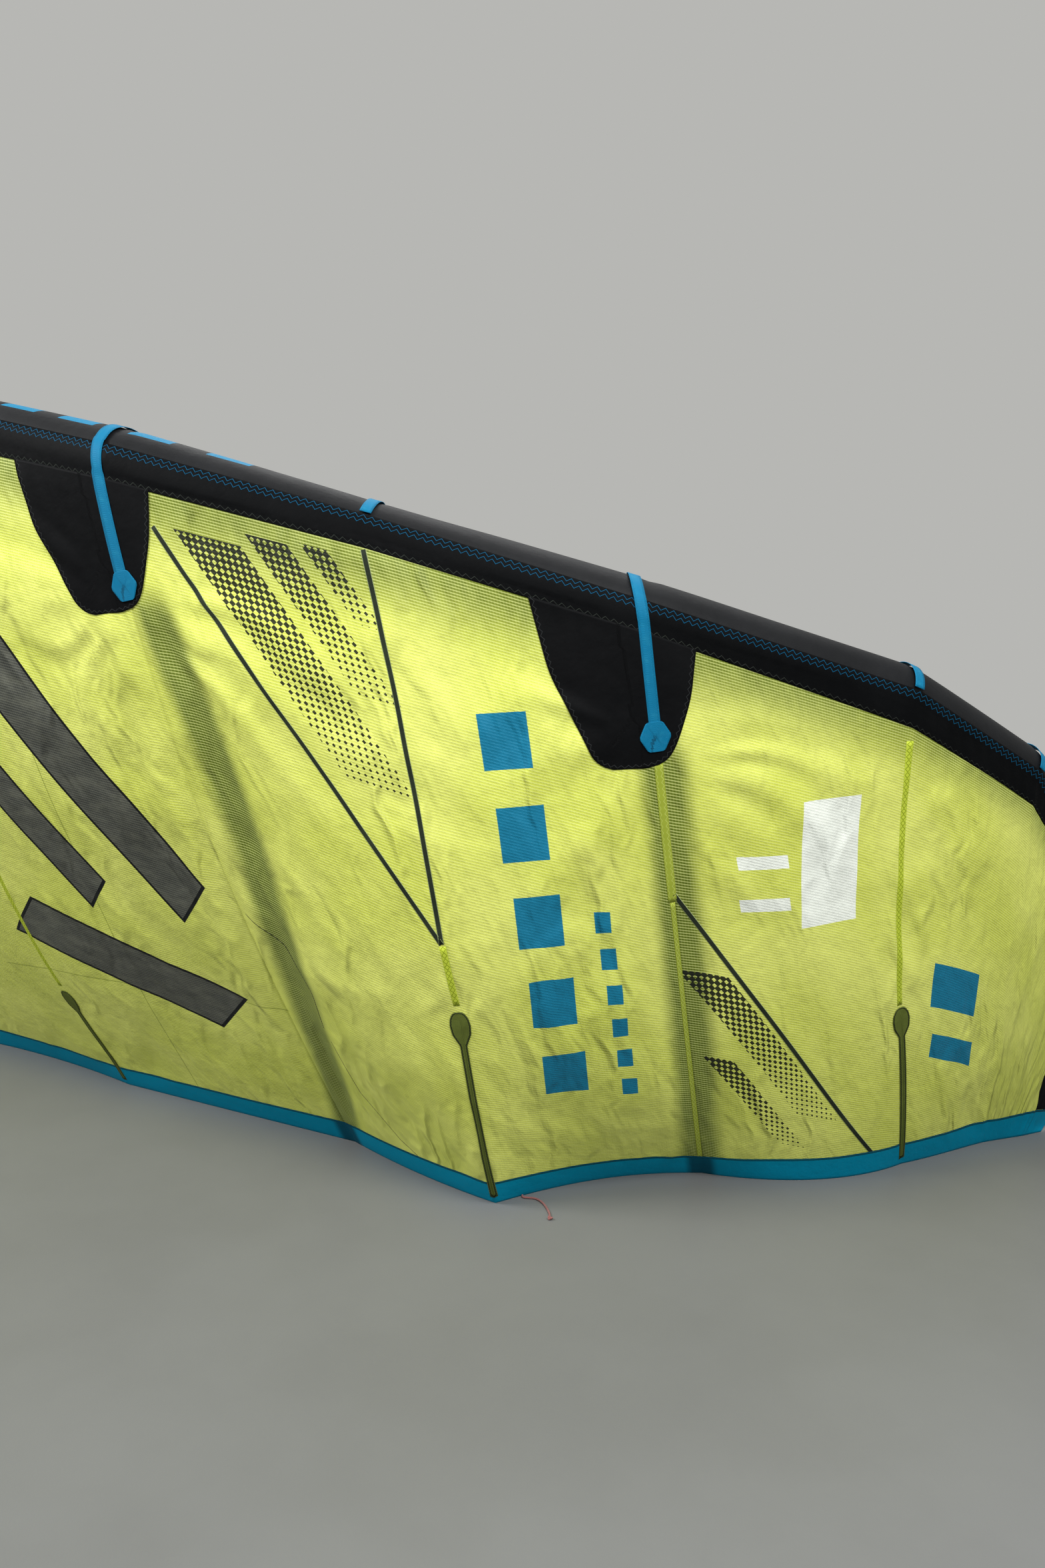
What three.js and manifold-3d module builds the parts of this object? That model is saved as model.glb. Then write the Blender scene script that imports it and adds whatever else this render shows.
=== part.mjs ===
// Inflated leading-edge kitesurfing kite, standing on its trailing edge.
// Millimetres, +Z up, +X towards the right wing tip, the outer skin faces -Y.
import * as THREE from "three";
import { mergeVertices } from "three/addons/utils/BufferGeometryUtils.js";
import Module from "manifold-3d";

const wasm = await Module();
wasm.setup();

// Stations of one wing half, from the middle of the kite (0) to the wing tip (8).
// nose: middle of the leading-edge tube, with its radius. foot: the trailing edge on the floor.
// seam, leave: angles round the tube where the cloth is sewn on and where it leaves the tube.
// top, tuck: how far the cloth leans out at the tube and in at the floor. sway: its sideways bow.
// lap: length of the black nose strip below the tube.
const STATIONS = [
  { nose: [0, -535, 1900], radius: 100, foot: [0, -75],
    seam: 52, leave: 10, top: 16, tuck: 14, sway: 0, lap: 12 },
  { nose: [750, -485, 1850], radius: 98, foot: [838, 58],
    seam: 52, leave: 10, top: 18, tuck: 15, sway: 15, lap: 12 },
  { nose: [1482, -312, 1692], radius: 95, foot: [1634, 215],
    seam: 50, leave: 10, top: 15, tuck: 12, sway: 10, lap: 12 },
  { nose: [1985, -80, 1540], radius: 92, foot: [2133, 194],
    seam: 45, leave: 10, top: 8, tuck: 22, sway: 43, lap: 14 },
  { nose: [2445, 265, 1390], radius: 87, foot: [2438, 648],
    seam: 38, leave: 8, top: 10.5, tuck: 22, sway: -15, lap: 22 },
  { nose: [2840, 725, 1225], radius: 78, foot: [2811, 1024],
    seam: 26, leave: 2, top: 5, tuck: 17, sway: -63, lap: 56 },
  { nose: [3020, 1050, 1045], radius: 68, foot: [2935, 1290],
    seam: 18, leave: -4, top: 4, tuck: 15, sway: -50, lap: 66 },
  { nose: [3130, 1450, 640], radius: 54, foot: [3005, 1400],
    seam: 14, leave: -6, top: 4, tuck: 12, sway: -25, lap: 56 },
  { nose: [3060, 1685, 150], radius: 40, foot: [3039, 1465],
    seam: 12, leave: -8, top: 4, tuck: 8, sway: 0, lap: 36 },
];
const TIP = STATIONS.length - 1;
// The cloth billows between these stations, where the inflated struts hold it, and the wing tip.
const PANEL_ENDS = [0, 2, 4, TIP];
const TIP_SEAM = TIP - 0.6;
const PANELS = [
  { name: "canopy_inner", from: 0, to: 2, look: "lime" },
  { name: "canopy_middle", from: 2, to: 4, look: "lime" },
  { name: "canopy_outer", from: 4, to: TIP_SEAM, look: "lime" },
  { name: "canopy_tip", from: TIP_SEAM, to: TIP, look: "black" },
];
const STRUTS = [{ name: "mid", at: 0 }, { name: "inner", at: 2 }, { name: "outer", at: 4 }];
const BANDS = [{ name: "a", at: 1 }, { name: "b", at: 3 }, { name: "c", at: 5 }, { name: "d", at: 6 }];
// top: how far down the cloth a batten's round end sits, as a share of the cloth.
const BATTENS = [
  { name: "a", at: 1, top: 0.8 },
  { name: "b", at: 3, top: 0.63 },
  { name: "c", at: 5, top: 0.6 },
];
// Outward bow of the trailing edge between a station and the next.
const EDGE_BOW = [-32, 0, 0, -60, 60, 0, 0, 0];

// Heights of the layers above the skin: each is a thin sheet with a small gap under it.
const CLOTH_LAYER = [0.8, 2.3];
const PATCH_LAYER = [2.7, 3.9];
const STRAP_LAYER = [4.3, 5.5];
const TAPE_LAYER = [0.8, 2.0];
const JOINT = 0.4;

const EDGE_BAND_HEIGHT = 72;
const STRAP_WIDTH = 25;
const BAND_MARGIN = 4;
// Degrees round the tube, from its front over the top, where a strap and a band begin.
const STRAP_BACK = 198;
const BAND_BACK = 324;
const HEXAGON = { drop: 238, half_width: 35, half_height: 32 };
const BATTEN = { width: 19, end_radius: 24, neck: 62, foot_row: 0.65 };
const STRUT = { share_of_tube: 0.47, foot_radius: 24, end_radius: 13, end_row: 0.25 };
const TIP_END = { length: 24, shoulder: 0.85, end: 0.5 };
// Outline of a reinforcement, as side and drop from the strut: towards the middle, then the tip.
const PATCH_INNER_SIDE = [[-232, -40], [-205, 55], [-150, 210], [-135, 265], [-100, 296]];
const PATCH_OUTER_SIDE = [[-10, 302], [26, 284], [48, 245], [84, 150], [124, -40]];
// The cord end: where it meets the edge band, and its way over the floor from there.
const CORD = {
  radius: 2.5, station: 3, share: 0.6, clear: 3.1, straight: 14,
  route: [[2197, 267], [2225, 261], [2260, 237], [2281, 215]],
};

const TUBE_SIDES = 20;
const TUBE_STEP = 360 / TUBE_SIDES;
const STRUT_SIDES = 12;
const LEAVE_ROW = 4;
const LAP_ROW = LEAVE_ROW + 1;
const CLOTH_ROWS = 14;
const BAND_ROW = LAP_ROW + CLOTH_ROWS;
const LAST_ROW = BAND_ROW + 1;
const COLUMNS = 5;

const LOOKS = {
  lime: { color: 0xc9d563, roughness: 0.55 },
  black: { color: 0x0b0d11, roughness: 0.7 },
  tube: { color: 0x1d2024, roughness: 0.62 },
  blue: { color: 0x086f92, roughness: 0.6 },
  webbing: { color: 0x0e93b8, roughness: 0.5 },
  batten: { color: 0x3f4a1c, roughness: 0.65 },
  cord: { color: 0xaa5050, roughness: 0.7 },
};

const vector = (x, y, z) => new THREE.Vector3(x, y, z);
const radians = THREE.MathUtils.degToRad;
const mix = THREE.MathUtils.lerp;
const range = (from, to, step = 1) => {
  const count = Math.round((to - from) / step);
  return Array.from({ length: count + 1 }, (_, i) => from + i * step);
};

const frames = STATIONS.map((station, index) => {
  const nose = vector(...station.nose);
  const before = index > 0 ? vector(...STATIONS[index - 1].nose) : null;
  const after = index < TIP ? vector(...STATIONS[index + 1].nose) : null;
  const arriving = before ? nose.clone().sub(before).normalize() : vector(1, 0, 0);
  const leaving = after ? after.clone().sub(nose).normalize() : arriving.clone();
  const axis = before ? arriving.clone().add(leaving).normalize() : vector(1, 0, 0);
  const foot = vector(...station.foot, 0);
  const chord = foot.clone().sub(nose);
  const length = chord.length();
  const down = chord.normalize();
  const out = down.clone().cross(axis).normalize();
  const up = out.clone().cross(axis);
  return { ...station, nose, foot, axis, down, out, up, length };
});

// Every measure of the kite at any place x along a half, between two stations.
const frameAt = (x) => {
  const index = Math.min(Math.floor(x), TIP - 1);
  const [a, b] = [frames[index], frames[index + 1]];
  const f = x - index;
  const turned = (key) => a[key].clone().lerp(b[key], f).normalize();
  const number = (key) => mix(a[key], b[key], f);
  return {
    nose: a.nose.clone().lerp(b.nose, f), out: turned("out"), up: turned("up"), axis: turned("axis"),
    radius: number("radius"), seam: number("seam"), leave: number("leave"),
    lap: number("lap"), length: number("length"),
  };
};

const around = (frame, degrees) => {
  const angle = radians(degrees);
  return frame.out.clone().multiplyScalar(Math.cos(angle)).addScaledVector(frame.up, Math.sin(angle));
};

// One section of cloth from the tube (0) to the floor (1): a smooth curve between two directions.
const section = (frame, t) => {
  const along = frame.down.dot(frame.axis);
  const across = Math.sqrt(1 - along * along);
  const [top, tuck] = [radians(frame.top), radians(frame.tuck)];
  const start = frame.nose.clone().addScaledVector(around(frame, frame.leave), frame.radius);
  const first = frame.out.clone().multiplyScalar(Math.sin(top) * across)
    .addScaledVector(frame.up, -Math.cos(top) * across).addScaledVector(frame.axis, along);
  const last = frame.down.clone().multiplyScalar(Math.cos(tuck)).addScaledVector(frame.out, -Math.sin(tuck));
  const [t2, t3] = [t * t, t * t * t];
  return start.multiplyScalar(2 * t3 - 3 * t2 + 1)
    .addScaledVector(first, (t3 - 2 * t2 + t) * frame.length)
    .addScaledVector(frame.foot, 3 * t2 - 2 * t3)
    .addScaledVector(last, (t3 - t2) * frame.length)
    .addScaledVector(frame.axis, frame.sway * 4 * t * (1 - t));
};

// A smooth curve through evenly spaced points, at part f of the way from one to the next.
const curveThrough = (points, index, f) => {
  const beyond = (p, q, r) => p.clone().multiplyScalar(3).addScaledVector(q, -3).add(r);
  const [a, b] = [points[index], points[index + 1]];
  const previous = points[index - 1] ?? beyond(a, b, points[index + 2]);
  const next = points[index + 2] ?? beyond(b, a, points[index - 1]);
  const [f2, f3] = [f * f, f * f * f];
  return a.clone().multiplyScalar(1 - 2.5 * f2 + 1.5 * f3)
    .addScaledVector(previous, -0.5 * f + f2 - 0.5 * f3)
    .addScaledVector(b, 0.5 * f + 2 * f2 - 1.5 * f3)
    .addScaledVector(next, -0.5 * f2 + 0.5 * f3);
};

// The cloth runs straight along the tube, billows in the middle and is nearly straight on the floor.
const billow = (t) => {
  const { smoothstep } = THREE.MathUtils;
  return smoothstep(t, 0, 0.22) * (1 - 0.75 * smoothstep(t, 0.6, 1));
};

const clothPoint = (x, t) => {
  const panel = PANEL_ENDS.findIndex((end, i) => i > 0 && x <= end);
  const first = PANEL_ENDS[panel - 1];
  const points = frames.slice(first, PANEL_ENDS[panel] + 1).map((frame) => section(frame, t));
  const index = Math.min(Math.floor(x), PANEL_ENDS[panel] - 1);
  const f = x - index;
  const straight = points[index - first].clone().lerp(points[index + 1 - first], f);
  const out = frameAt(x).out.setZ(0).normalize();
  const bow = EDGE_BOW[index] * 4 * f * (1 - f) * t * t * t;
  return straight.lerp(curveThrough(points, index - first, f), billow(t)).addScaledVector(out, bow);
};

// How far down the cloth a row lies: the lap row, even rows, the edge band's row and the floor.
const rowPlace = (frame, row) => {
  const lap = frame.lap / frame.length;
  const band = 1 - EDGE_BAND_HEIGHT / frame.length;
  if (row <= LAP_ROW) return lap * (row - LEAVE_ROW);
  if (row <= BAND_ROW) return mix(lap, band, (row - LAP_ROW) / CLOTH_ROWS);
  return mix(band, 1, row - BAND_ROW);
};

const rowAt = (station, place) => {
  const [lap, band] = [LAP_ROW, BAND_ROW].map((row) => rowPlace(frames[station], row));
  return LAP_ROW + (CLOTH_ROWS * (place - lap)) / (band - lap);
};

const flip = (x, point) => {
  if (x < 0) point.x *= -1;
  return point;
};

// Angle round the tube: rows below zero are degrees on the bare tube, rows 0 to 4 are on the sewn lap.
const rowAngle = (frame, row) => (row < 0 ? -row : mix(frame.seam, frame.leave, row / LEAVE_ROW));

// Any point of the skin. Negative x is the left half.
const skinPoint = (x, row, nudge = 0) => {
  const side = Math.abs(x);
  const frame = frameAt(side);
  if (row < LEAVE_ROW) {
    return flip(x, frame.nose.addScaledVector(around(frame, rowAngle(frame, row)), frame.radius));
  }
  const place = rowPlace(frame, row) + nudge / frame.length;
  return flip(x, clothPoint(side, Math.min(place, 1)));
};

const REACH = 0.04;
const skinNormal = (x, row) => {
  const frame = frameAt(Math.abs(x));
  if (row < LEAVE_ROW) return flip(x, around(frame, rowAngle(frame, row)));
  const [above, below] = [Math.max(row - REACH, LEAVE_ROW), Math.min(row + REACH, LAST_ROW)];
  const drop = skinPoint(x, above).sub(skinPoint(x, below));
  const facing = (from, to) => skinPoint(to, row).sub(skinPoint(from, row)).cross(drop).normalize();
  const sides = [];
  if (x - REACH >= -TIP) sides.push(facing(x - REACH, x));
  if (x + REACH <= TIP) sides.push(facing(x, x + REACH));
  return sides.reduce((sum, side) => sum.add(side), vector(0, 0, 0)).normalize();
};

const offSkin = (x, row, height, nudge = 0) => {
  const point = skinPoint(x, row, nudge).addScaledVector(skinNormal(x, row), height);
  return row >= LAST_ROW ? point.setZ(0) : point;
};

// Joins the shared vertices of a closed three.js geometry and moves each one to its new place.
const bend = (geometry, place) => {
  geometry.deleteAttribute("normal");
  geometry.deleteAttribute("uv");
  const whole = mergeVertices(geometry);
  const position = whole.getAttribute("position");
  const corner = vector(0, 0, 0);
  for (let i = 0; i < position.count; i += 1) {
    corner.fromBufferAttribute(position, i);
    position.setXYZ(i, ...place(corner).toArray());
  }
  whole.computeVertexNormals();
  return whole;
};

// A thin board. Its back squares are split along the front's diagonal, so bent faces stay parallel.
const thinBoard = (across, down) => {
  const board = new THREE.BoxGeometry(1, 1, 1, across, down, 1);
  const index = board.getIndex();
  const { start, count } = board.groups[5];
  for (let i = start; i < start + count; i += 6) {
    const [a, b, d, , c] = index.array.slice(i, i + 6);
    index.array.set([a, b, c, a, c, d], i);
  }
  return board;
};

// A flat board of cloth laid on the skin, with a column or row of corners at each listed place.
const sheet = (columns, rows, layer, nudges = [0, 0]) => {
  return bend(thinBoard(columns.length - 1, rows.length - 1), (corner) => {
    const x = columns[Math.round((corner.x + 0.5) * (columns.length - 1))];
    const index = Math.round((0.5 - corner.y) * (rows.length - 1));
    const edge = { 0: nudges[0], [rows.length - 1]: nudges[1] }[index] ?? 0;
    const [inner, outer] = typeof layer === "function" ? layer(rows[index]) : layer;
    return offSkin(x, rows[index], corner.z > 0 ? outer : inner, edge);
  });
};

// The tube between two places, with straight sides. grow widens it, for cutting a neighbour.
const tube = (from, to, spans, grow = 0) => {
  const pipe = new THREE.CylinderGeometry(1, 1, 1, TUBE_SIDES, spans);
  return bend(pipe, (corner) => {
    const x = mix(from, to, corner.y + 0.5);
    const frame = frameAt(Math.abs(x));
    const spread = frame.radius + grow;
    const point = frame.nose.addScaledVector(frame.out, corner.x * spread);
    return flip(x, point.addScaledVector(frame.up, corner.z * spread));
  });
};

const solid = (geometry) => {
  geometry.deleteAttribute("normal");
  geometry.deleteAttribute("uv");
  const merged = mergeVertices(geometry);
  return new wasm.Manifold(new wasm.Mesh({
    numProp: 3,
    vertProperties: new Float32Array(merged.getAttribute("position").array),
    triVerts: new Uint32Array(merged.getIndex().array),
  }));
};

const geometryOf = (manifold) => {
  const mesh = manifold.getMesh();
  const geometry = new THREE.BufferGeometry();
  geometry.setAttribute("position", new THREE.BufferAttribute(mesh.vertProperties, 3));
  geometry.setIndex(new THREE.BufferAttribute(mesh.triVerts, 1));
  geometry.computeVertexNormals();
  return geometry;
};

// A flat outline pushed through the skin: y is up the cloth, z points out of it.
const CUT_DEPTH = 240;
const cutter = (outline, centre, up, out) => {
  const side = up.clone().cross(out).normalize();
  const facing = side.clone().cross(up).normalize();
  const place = new THREE.Matrix4().makeBasis(side, up, facing).setPosition(centre);
  const depth = CUT_DEPTH;
  const block = new THREE.ExtrudeGeometry(outline, { depth, bevelEnabled: false, curveSegments: 8 });
  return solid(block.translate(0, 0, -depth / 2).applyMatrix4(place));
};

// A layer over the cloth, cut to an outline, with the same facets as the cloth beneath it.
const overlay = (columns, rows, layer, cut) => {
  const layerAt = (row) => (typeof layer === "function" ? layer(row) : layer);
  const thick = solid(sheet(columns, rows, (row) => [0, layerAt(row)[1]]));
  const longer = rows[0] < 0 ? [rows[0] - TUBE_STEP, ...rows] : rows;
  const beneath = solid(sheet(columns, longer, (row) => [-1, layerAt(row)[0]], [-1, 1]));
  return thick.intersect(cut).subtract(beneath);
};

const kite = new THREE.Group();
const add = (name, geometry, look) => {
  const mesh = new THREE.Mesh(geometry, new THREE.MeshStandardMaterial({ ...LOOKS[look], metalness: 0 }));
  mesh.name = name;
  kite.add(mesh);
};

const HALVES = [{ half: "left", sign: -1 }, { half: "right", sign: 1 }];
const inOrder = (sign, places) => (sign < 0 ? places.map((x) => -x).reverse() : places);
// A distance in millimetres along the tube, as a part of one station's span.
const asStations = (index, distance) => distance / frames[index].nose.distanceTo(frames[index + 1].nose);
const spanColumns = (first, last) => {
  const places = range(first, last, 1 / COLUMNS);
  places[0] += asStations(Math.floor(first), JOINT);
  places[places.length - 1] -= last === TIP ? 0 : asStations(Math.ceil(last) - 1, JOINT);
  return places;
};

const addTube = ({ half, sign }) => {
  range(0, TIP - 1).forEach((index) => {
    const gap = asStations(index, JOINT);
    const ends = inOrder(sign, [index + gap, index + 1 - (index + 1 < TIP ? gap : 0)]);
    const name = `nose_tube_${half}_${index + 1}`;
    if (index + 1 < TIP) add(name, tube(...ends, 1), "tube");
    else add(name, tipTube(sign, index + gap), "tube");
  });
};

// The last length of tube ends in a rounded tip.
const tipTube = (sign, from) => {
  const rings = [
    { x: from, share: 1, past: 0 },
    { x: TIP, share: 1, past: 0 },
    { x: TIP, share: TIP_END.shoulder, past: TIP_END.length / 2 },
    { x: TIP, share: TIP_END.end, past: TIP_END.length },
  ];
  const pipe = new THREE.CylinderGeometry(1, 1, 1, TUBE_SIDES, rings.length - 1);
  return bend(pipe, (corner) => {
    const index = Math.round((corner.y + 0.5) * (rings.length - 1));
    const ring = rings[sign > 0 ? index : rings.length - 1 - index];
    const frame = frameAt(ring.x);
    const spread = frame.radius * ring.share;
    const point = frame.nose.addScaledVector(frame.out, corner.x * spread)
      .addScaledVector(frame.up, corner.z * spread).addScaledVector(frame.axis, ring.past);
    return flip(sign, point);
  });
};

const addCloth = ({ half, sign }) => {
  PANELS.forEach(({ name, from, to, look }) => {
    const columns = inOrder(sign, spanColumns(from, to));
    add(`${name}_${half}`, sheet(columns, range(LAP_ROW, BAND_ROW), CLOTH_LAYER, [JOINT, -JOINT]), look);
  });
  const whole = inOrder(sign, spanColumns(0, TIP));
  add(`nose_strip_${half}`, sheet(whole, range(0, LAP_ROW), CLOTH_LAYER, [0, -JOINT]), "black");
  add(`edge_band_${half}`, sheet(whole, [BAND_ROW, LAST_ROW], CLOTH_LAYER, [JOINT, 0]), "blue");
};

// Tapes round the bare part of the tube, over the joins between its lengths.
const addBands = ({ half, sign }) => {
  BANDS.forEach(({ name, at }) => {
    const reach = STRAP_WIDTH / 2;
    const columns = [at - asStations(at - 1, reach), at, at + asStations(at, reach)];
    const edge = frames[at].seam + BAND_MARGIN;
    const lastSide = Math.ceil(edge / TUBE_STEP);
    const rows = [...range(-BAND_BACK, -lastSide * TUBE_STEP, TUBE_STEP), -edge];
    add(`tube_band_${half}_${name}`, sheet(inOrder(sign, columns), rows, TAPE_LAYER), "webbing");
  });
};

const addBattens = ({ half, sign }) => {
  BATTENS.forEach(({ name, at, top }) => {
    const x = sign * at;
    const [high, low] = [skinPoint(x, rowAt(at, top)), skinPoint(x, BAND_ROW + BATTEN.foot_row)];
    const up = high.clone().sub(low);
    const length = up.length();
    up.normalize();
    const { width, end_radius: round, neck } = BATTEN;
    const outline = new THREE.Shape();
    outline.moveTo(-width / 2, 0);
    outline.lineTo(-width / 2, length - round - neck);
    outline.absarc(0, length - round, round, Math.PI, 0, true);
    outline.lineTo(width / 2, length - round - neck);
    outline.lineTo(width / 2, 0);
    outline.closePath();
    const out = skinNormal(x, (rowAt(at, top) + BAND_ROW) / 2);
    const columns = [x - 1 / COLUMNS, x, x + 1 / COLUMNS];
    const rows = [...range(Math.floor(rowAt(at, top)) - 1, BAND_ROW), LAST_ROW];
    const batten = overlay(columns, rows, PATCH_LAYER, cutter(outline, low, up, out));
    add(`batten_${half}_${name}`, geometryOf(batten), "batten");
  });
};

// The reinforcement, strap and inflated strut at one station. x is below zero on the left.
const addStrut = (name, x) => {
  const station = Math.abs(x);
  const sign = x < 0 ? -1 : 1;
  const frame = frames[station];
  const head = skinPoint(x, LAP_ROW);
  const row = rowAt(station, HEXAGON.drop / frame.length);
  const hexagonCentre = skinPoint(x, row);
  const up = head.clone().sub(hexagonCentre).normalize();
  const out = skinNormal(x, (LAP_ROW + row) / 2);

  const evenSide = PATCH_OUTER_SIDE.slice(1);
  const outline = station > 0 ? [...PATCH_INNER_SIDE, ...PATCH_OUTER_SIDE]
    : [...evenSide.map(([side, drop]) => [-side, drop]).reverse(), ...evenSide];
  const corners = outline.map(([side, drop]) => new THREE.Vector2(side * sign, -drop));
  const columns = range(x - 3 / COLUMNS, x + 3 / COLUMNS, 1 / COLUMNS);
  const patchCut = cutter(new THREE.Shape(corners), head, up, out);
  const patchRows = range(LAP_ROW, LAP_ROW + 5);
  add(`strut_patch_${name}`, geometryOf(overlay(columns, patchRows, PATCH_LAYER, patchCut)), "black");

  const { half_width: a, half_height: b } = HEXAGON;
  const hexagon = new THREE.Shape([[-a, 0], [-a / 2, -b], [a / 2, -b], [a, 0], [a / 2, b], [-a / 2, b]]
    .map(([side, rise]) => new THREE.Vector2(side, rise)));
  const near = [x - 1 / COLUMNS, x, x + 1 / COLUMNS];
  const onCloth = (at) => (at < LAP_ROW ? PATCH_LAYER : STRAP_LAYER);
  const clothLayer = (at) => (at < 0 ? TAPE_LAYER : onCloth(at));
  const topSide = Math.ceil((frame.seam + BAND_MARGIN) / TUBE_STEP);
  const bareRows = range(-STRAP_BACK, -topSide * TUBE_STEP, TUBE_STEP);
  const strapRows = [...bareRows, ...range(0, LAP_ROW + 4)];
  const slab = new THREE.BoxGeometry(STRAP_WIDTH, 2 * CUT_DEPTH + HEXAGON.drop, 4 * CUT_DEPTH);
  slab.translate(0, CUT_DEPTH - HEXAGON.drop / 2, 0);
  const plane = flip(x, frame.down.clone()).negate();
  const side = plane.clone().cross(flip(x, frame.out.clone())).normalize();
  const facing = side.clone().cross(plane);
  const nose = flip(x, frame.nose.clone());
  const place = new THREE.Matrix4().makeBasis(side, plane, facing).setPosition(nose);
  const strap = overlay(near, strapRows, clothLayer, solid(slab.applyMatrix4(place)));
  const padRows = range(LAP_ROW, LAP_ROW + 4);
  const pad = overlay(near, padRows, STRAP_LAYER, cutter(hexagon, hexagonCentre, up, out));
  add(`strap_${name}`, geometryOf(strap.add(pad)), "webbing");

  const rings = [...range(LAP_ROW, BAND_ROW, 2), BAND_ROW + STRUT.end_row];
  const spine = new THREE.CylinderGeometry(1, 1, 1, STRUT_SIDES, rings.length - 1);
  const bent = bend(spine, (corner) => {
    const index = Math.round((0.5 - corner.y) * (rings.length - 1));
    const ring = rings[index];
    const share = Math.min((ring - LAP_ROW) / CLOTH_ROWS, 1);
    const full = mix(STRUT.share_of_tube * frame.radius, STRUT.foot_radius, share);
    const spread = ring > BAND_ROW ? STRUT.end_radius : full;
    const normal = skinNormal(x, ring);
    const rise = skinPoint(x, ring - REACH).sub(skinPoint(x, ring + REACH)).normalize();
    const across = normal.clone().cross(rise);
    return skinPoint(x, ring).addScaledVector(normal, spread * (corner.x - 1))
      .addScaledVector(across, spread * corner.z);
  });
  const tubeCut = solid(tube(x - 1, x + 1, 2, CLOTH_LAYER[0]));
  add(`strut_${name}`, geometryOf(solid(bent).subtract(tubeCut)), "tube");
};

HALVES.forEach((wing) => {
  addTube(wing);
  addCloth(wing);
  addBands(wing);
  addBattens(wing);
  for (const { name, at } of STRUTS.slice(1)) addStrut(`${wing.half}_${name}`, wing.sign * at);
});
addStrut(STRUTS[0].name, STRUTS[0].at);

// A short free cord end lies on the floor, starting square to the outer face of the right edge band.
const cordExit = (clear) => {
  const height = CLOTH_LAYER[1] + clear;
  const corner = offSkin(CORD.station, LAST_ROW, height);
  return corner.lerp(offSkin(CORD.station + 1 / COLUMNS, LAST_ROW, height), CORD.share).setZ(CORD.radius);
};
const cordPoints = [cordExit(CORD.clear), cordExit(CORD.straight)];
cordPoints.push(...CORD.route.map(([x, y]) => vector(x, y, CORD.radius)));
const cordSection = new THREE.Shape().absarc(0, 0, CORD.radius, 0, 2 * Math.PI, false);
const extrudePath = new THREE.CatmullRomCurve3(cordPoints);
const cord = new THREE.ExtrudeGeometry(cordSection, { steps: 12, curveSegments: 4, extrudePath });
add("cord_end", bend(cord, (corner) => corner.clone()), "cord");

const extent = new THREE.Box3().setFromObject(kite);
kite.position.set(-(extent.min.x + extent.max.x) / 2, -(extent.min.y + extent.max.y) / 2, 0);

export default kite;
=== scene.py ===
"""Looks of an inflated kitesurfing kite that stands on its trailing edge.

Every piece is laid on one surface, the skin, which repeats the measures of the solids in metres.
"""

import logging
import math
from collections.abc import Iterable, Sequence
from dataclasses import dataclass
from enum import Enum

import bpy
import numpy as np
from mathutils import Matrix, Vector


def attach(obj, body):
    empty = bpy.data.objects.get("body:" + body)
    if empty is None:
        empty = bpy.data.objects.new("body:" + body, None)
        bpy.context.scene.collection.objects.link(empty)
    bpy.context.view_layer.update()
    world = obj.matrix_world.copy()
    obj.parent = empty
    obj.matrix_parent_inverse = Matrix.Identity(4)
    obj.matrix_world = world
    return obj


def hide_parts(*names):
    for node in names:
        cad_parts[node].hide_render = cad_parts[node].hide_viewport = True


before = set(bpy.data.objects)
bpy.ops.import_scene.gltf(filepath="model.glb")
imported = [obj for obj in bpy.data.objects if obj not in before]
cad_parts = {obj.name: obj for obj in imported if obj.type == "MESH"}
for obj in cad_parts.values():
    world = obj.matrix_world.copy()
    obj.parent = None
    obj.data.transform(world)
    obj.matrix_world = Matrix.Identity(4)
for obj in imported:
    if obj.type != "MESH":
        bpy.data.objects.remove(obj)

LOG = logging.getLogger("kite")
Array = np.ndarray
Colour = tuple[float, float, float]
Pair = tuple[float, float]
Point = tuple[float, float, float]
Socket = bpy.types.NodeSocket

BACK_SHIFT = -0.54056
CLOTH_MAP = "cloth"
EDGE_MAP = "edge"
SOFT_EDGE = 0.0006


# Measures of the skin


@dataclass(frozen=True)
class Station:
    """One section of the right wing half, from the tube down to the floor.

    Lengths are in metres and angles in degrees. The nose is the middle of the tube and the foot is
    where the trailing edge stands. The cloth is sewn to the tube from seam to leave.
    """

    nose: Point
    radius: float
    foot: Pair
    seam: float
    leave: float
    top: float
    tuck: float
    sway: float
    lap: float


STATIONS = (
    Station((0.0, -0.535, 1.9), 0.1, (0.0, -0.075), 52, 10, 16, 14, 0.0, 0.012),
    Station((0.75, -0.485, 1.85), 0.098, (0.838, 0.058), 52, 10, 18, 15, 0.015, 0.012),
    Station((1.482, -0.312, 1.692), 0.095, (1.634, 0.215), 50, 10, 15, 12, 0.01, 0.012),
    Station((1.985, -0.08, 1.54), 0.092, (2.133, 0.194), 45, 10, 8, 22, 0.043, 0.014),
    Station((2.445, 0.265, 1.39), 0.087, (2.438, 0.648), 38, 8, 10.5, 22, -0.015, 0.022),
    Station((2.84, 0.725, 1.225), 0.078, (2.811, 1.024), 26, 2, 5, 17, -0.063, 0.056),
    Station((3.02, 1.05, 1.045), 0.068, (2.935, 1.29), 18, -4, 4, 15, -0.05, 0.066),
    Station((3.13, 1.45, 0.64), 0.054, (3.005, 1.4), 14, -6, 4, 12, -0.025, 0.056),
    Station((3.06, 1.685, 0.15), 0.04, (3.039, 1.465), 12, -8, 4, 8, 0.0, 0.036),
)
TIP = len(STATIONS) - 1
PANEL_ENDS = (0, 2, 4, TIP)
EDGE_BOW = np.array([-0.032, 0, 0, -0.06, 0.06, 0, 0, 0])
STRUT_STATIONS = (0, 2, 4)
SEAM_STATIONS = (1, 3, 5)
EDGE_BAND_HEIGHT = 0.072


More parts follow.
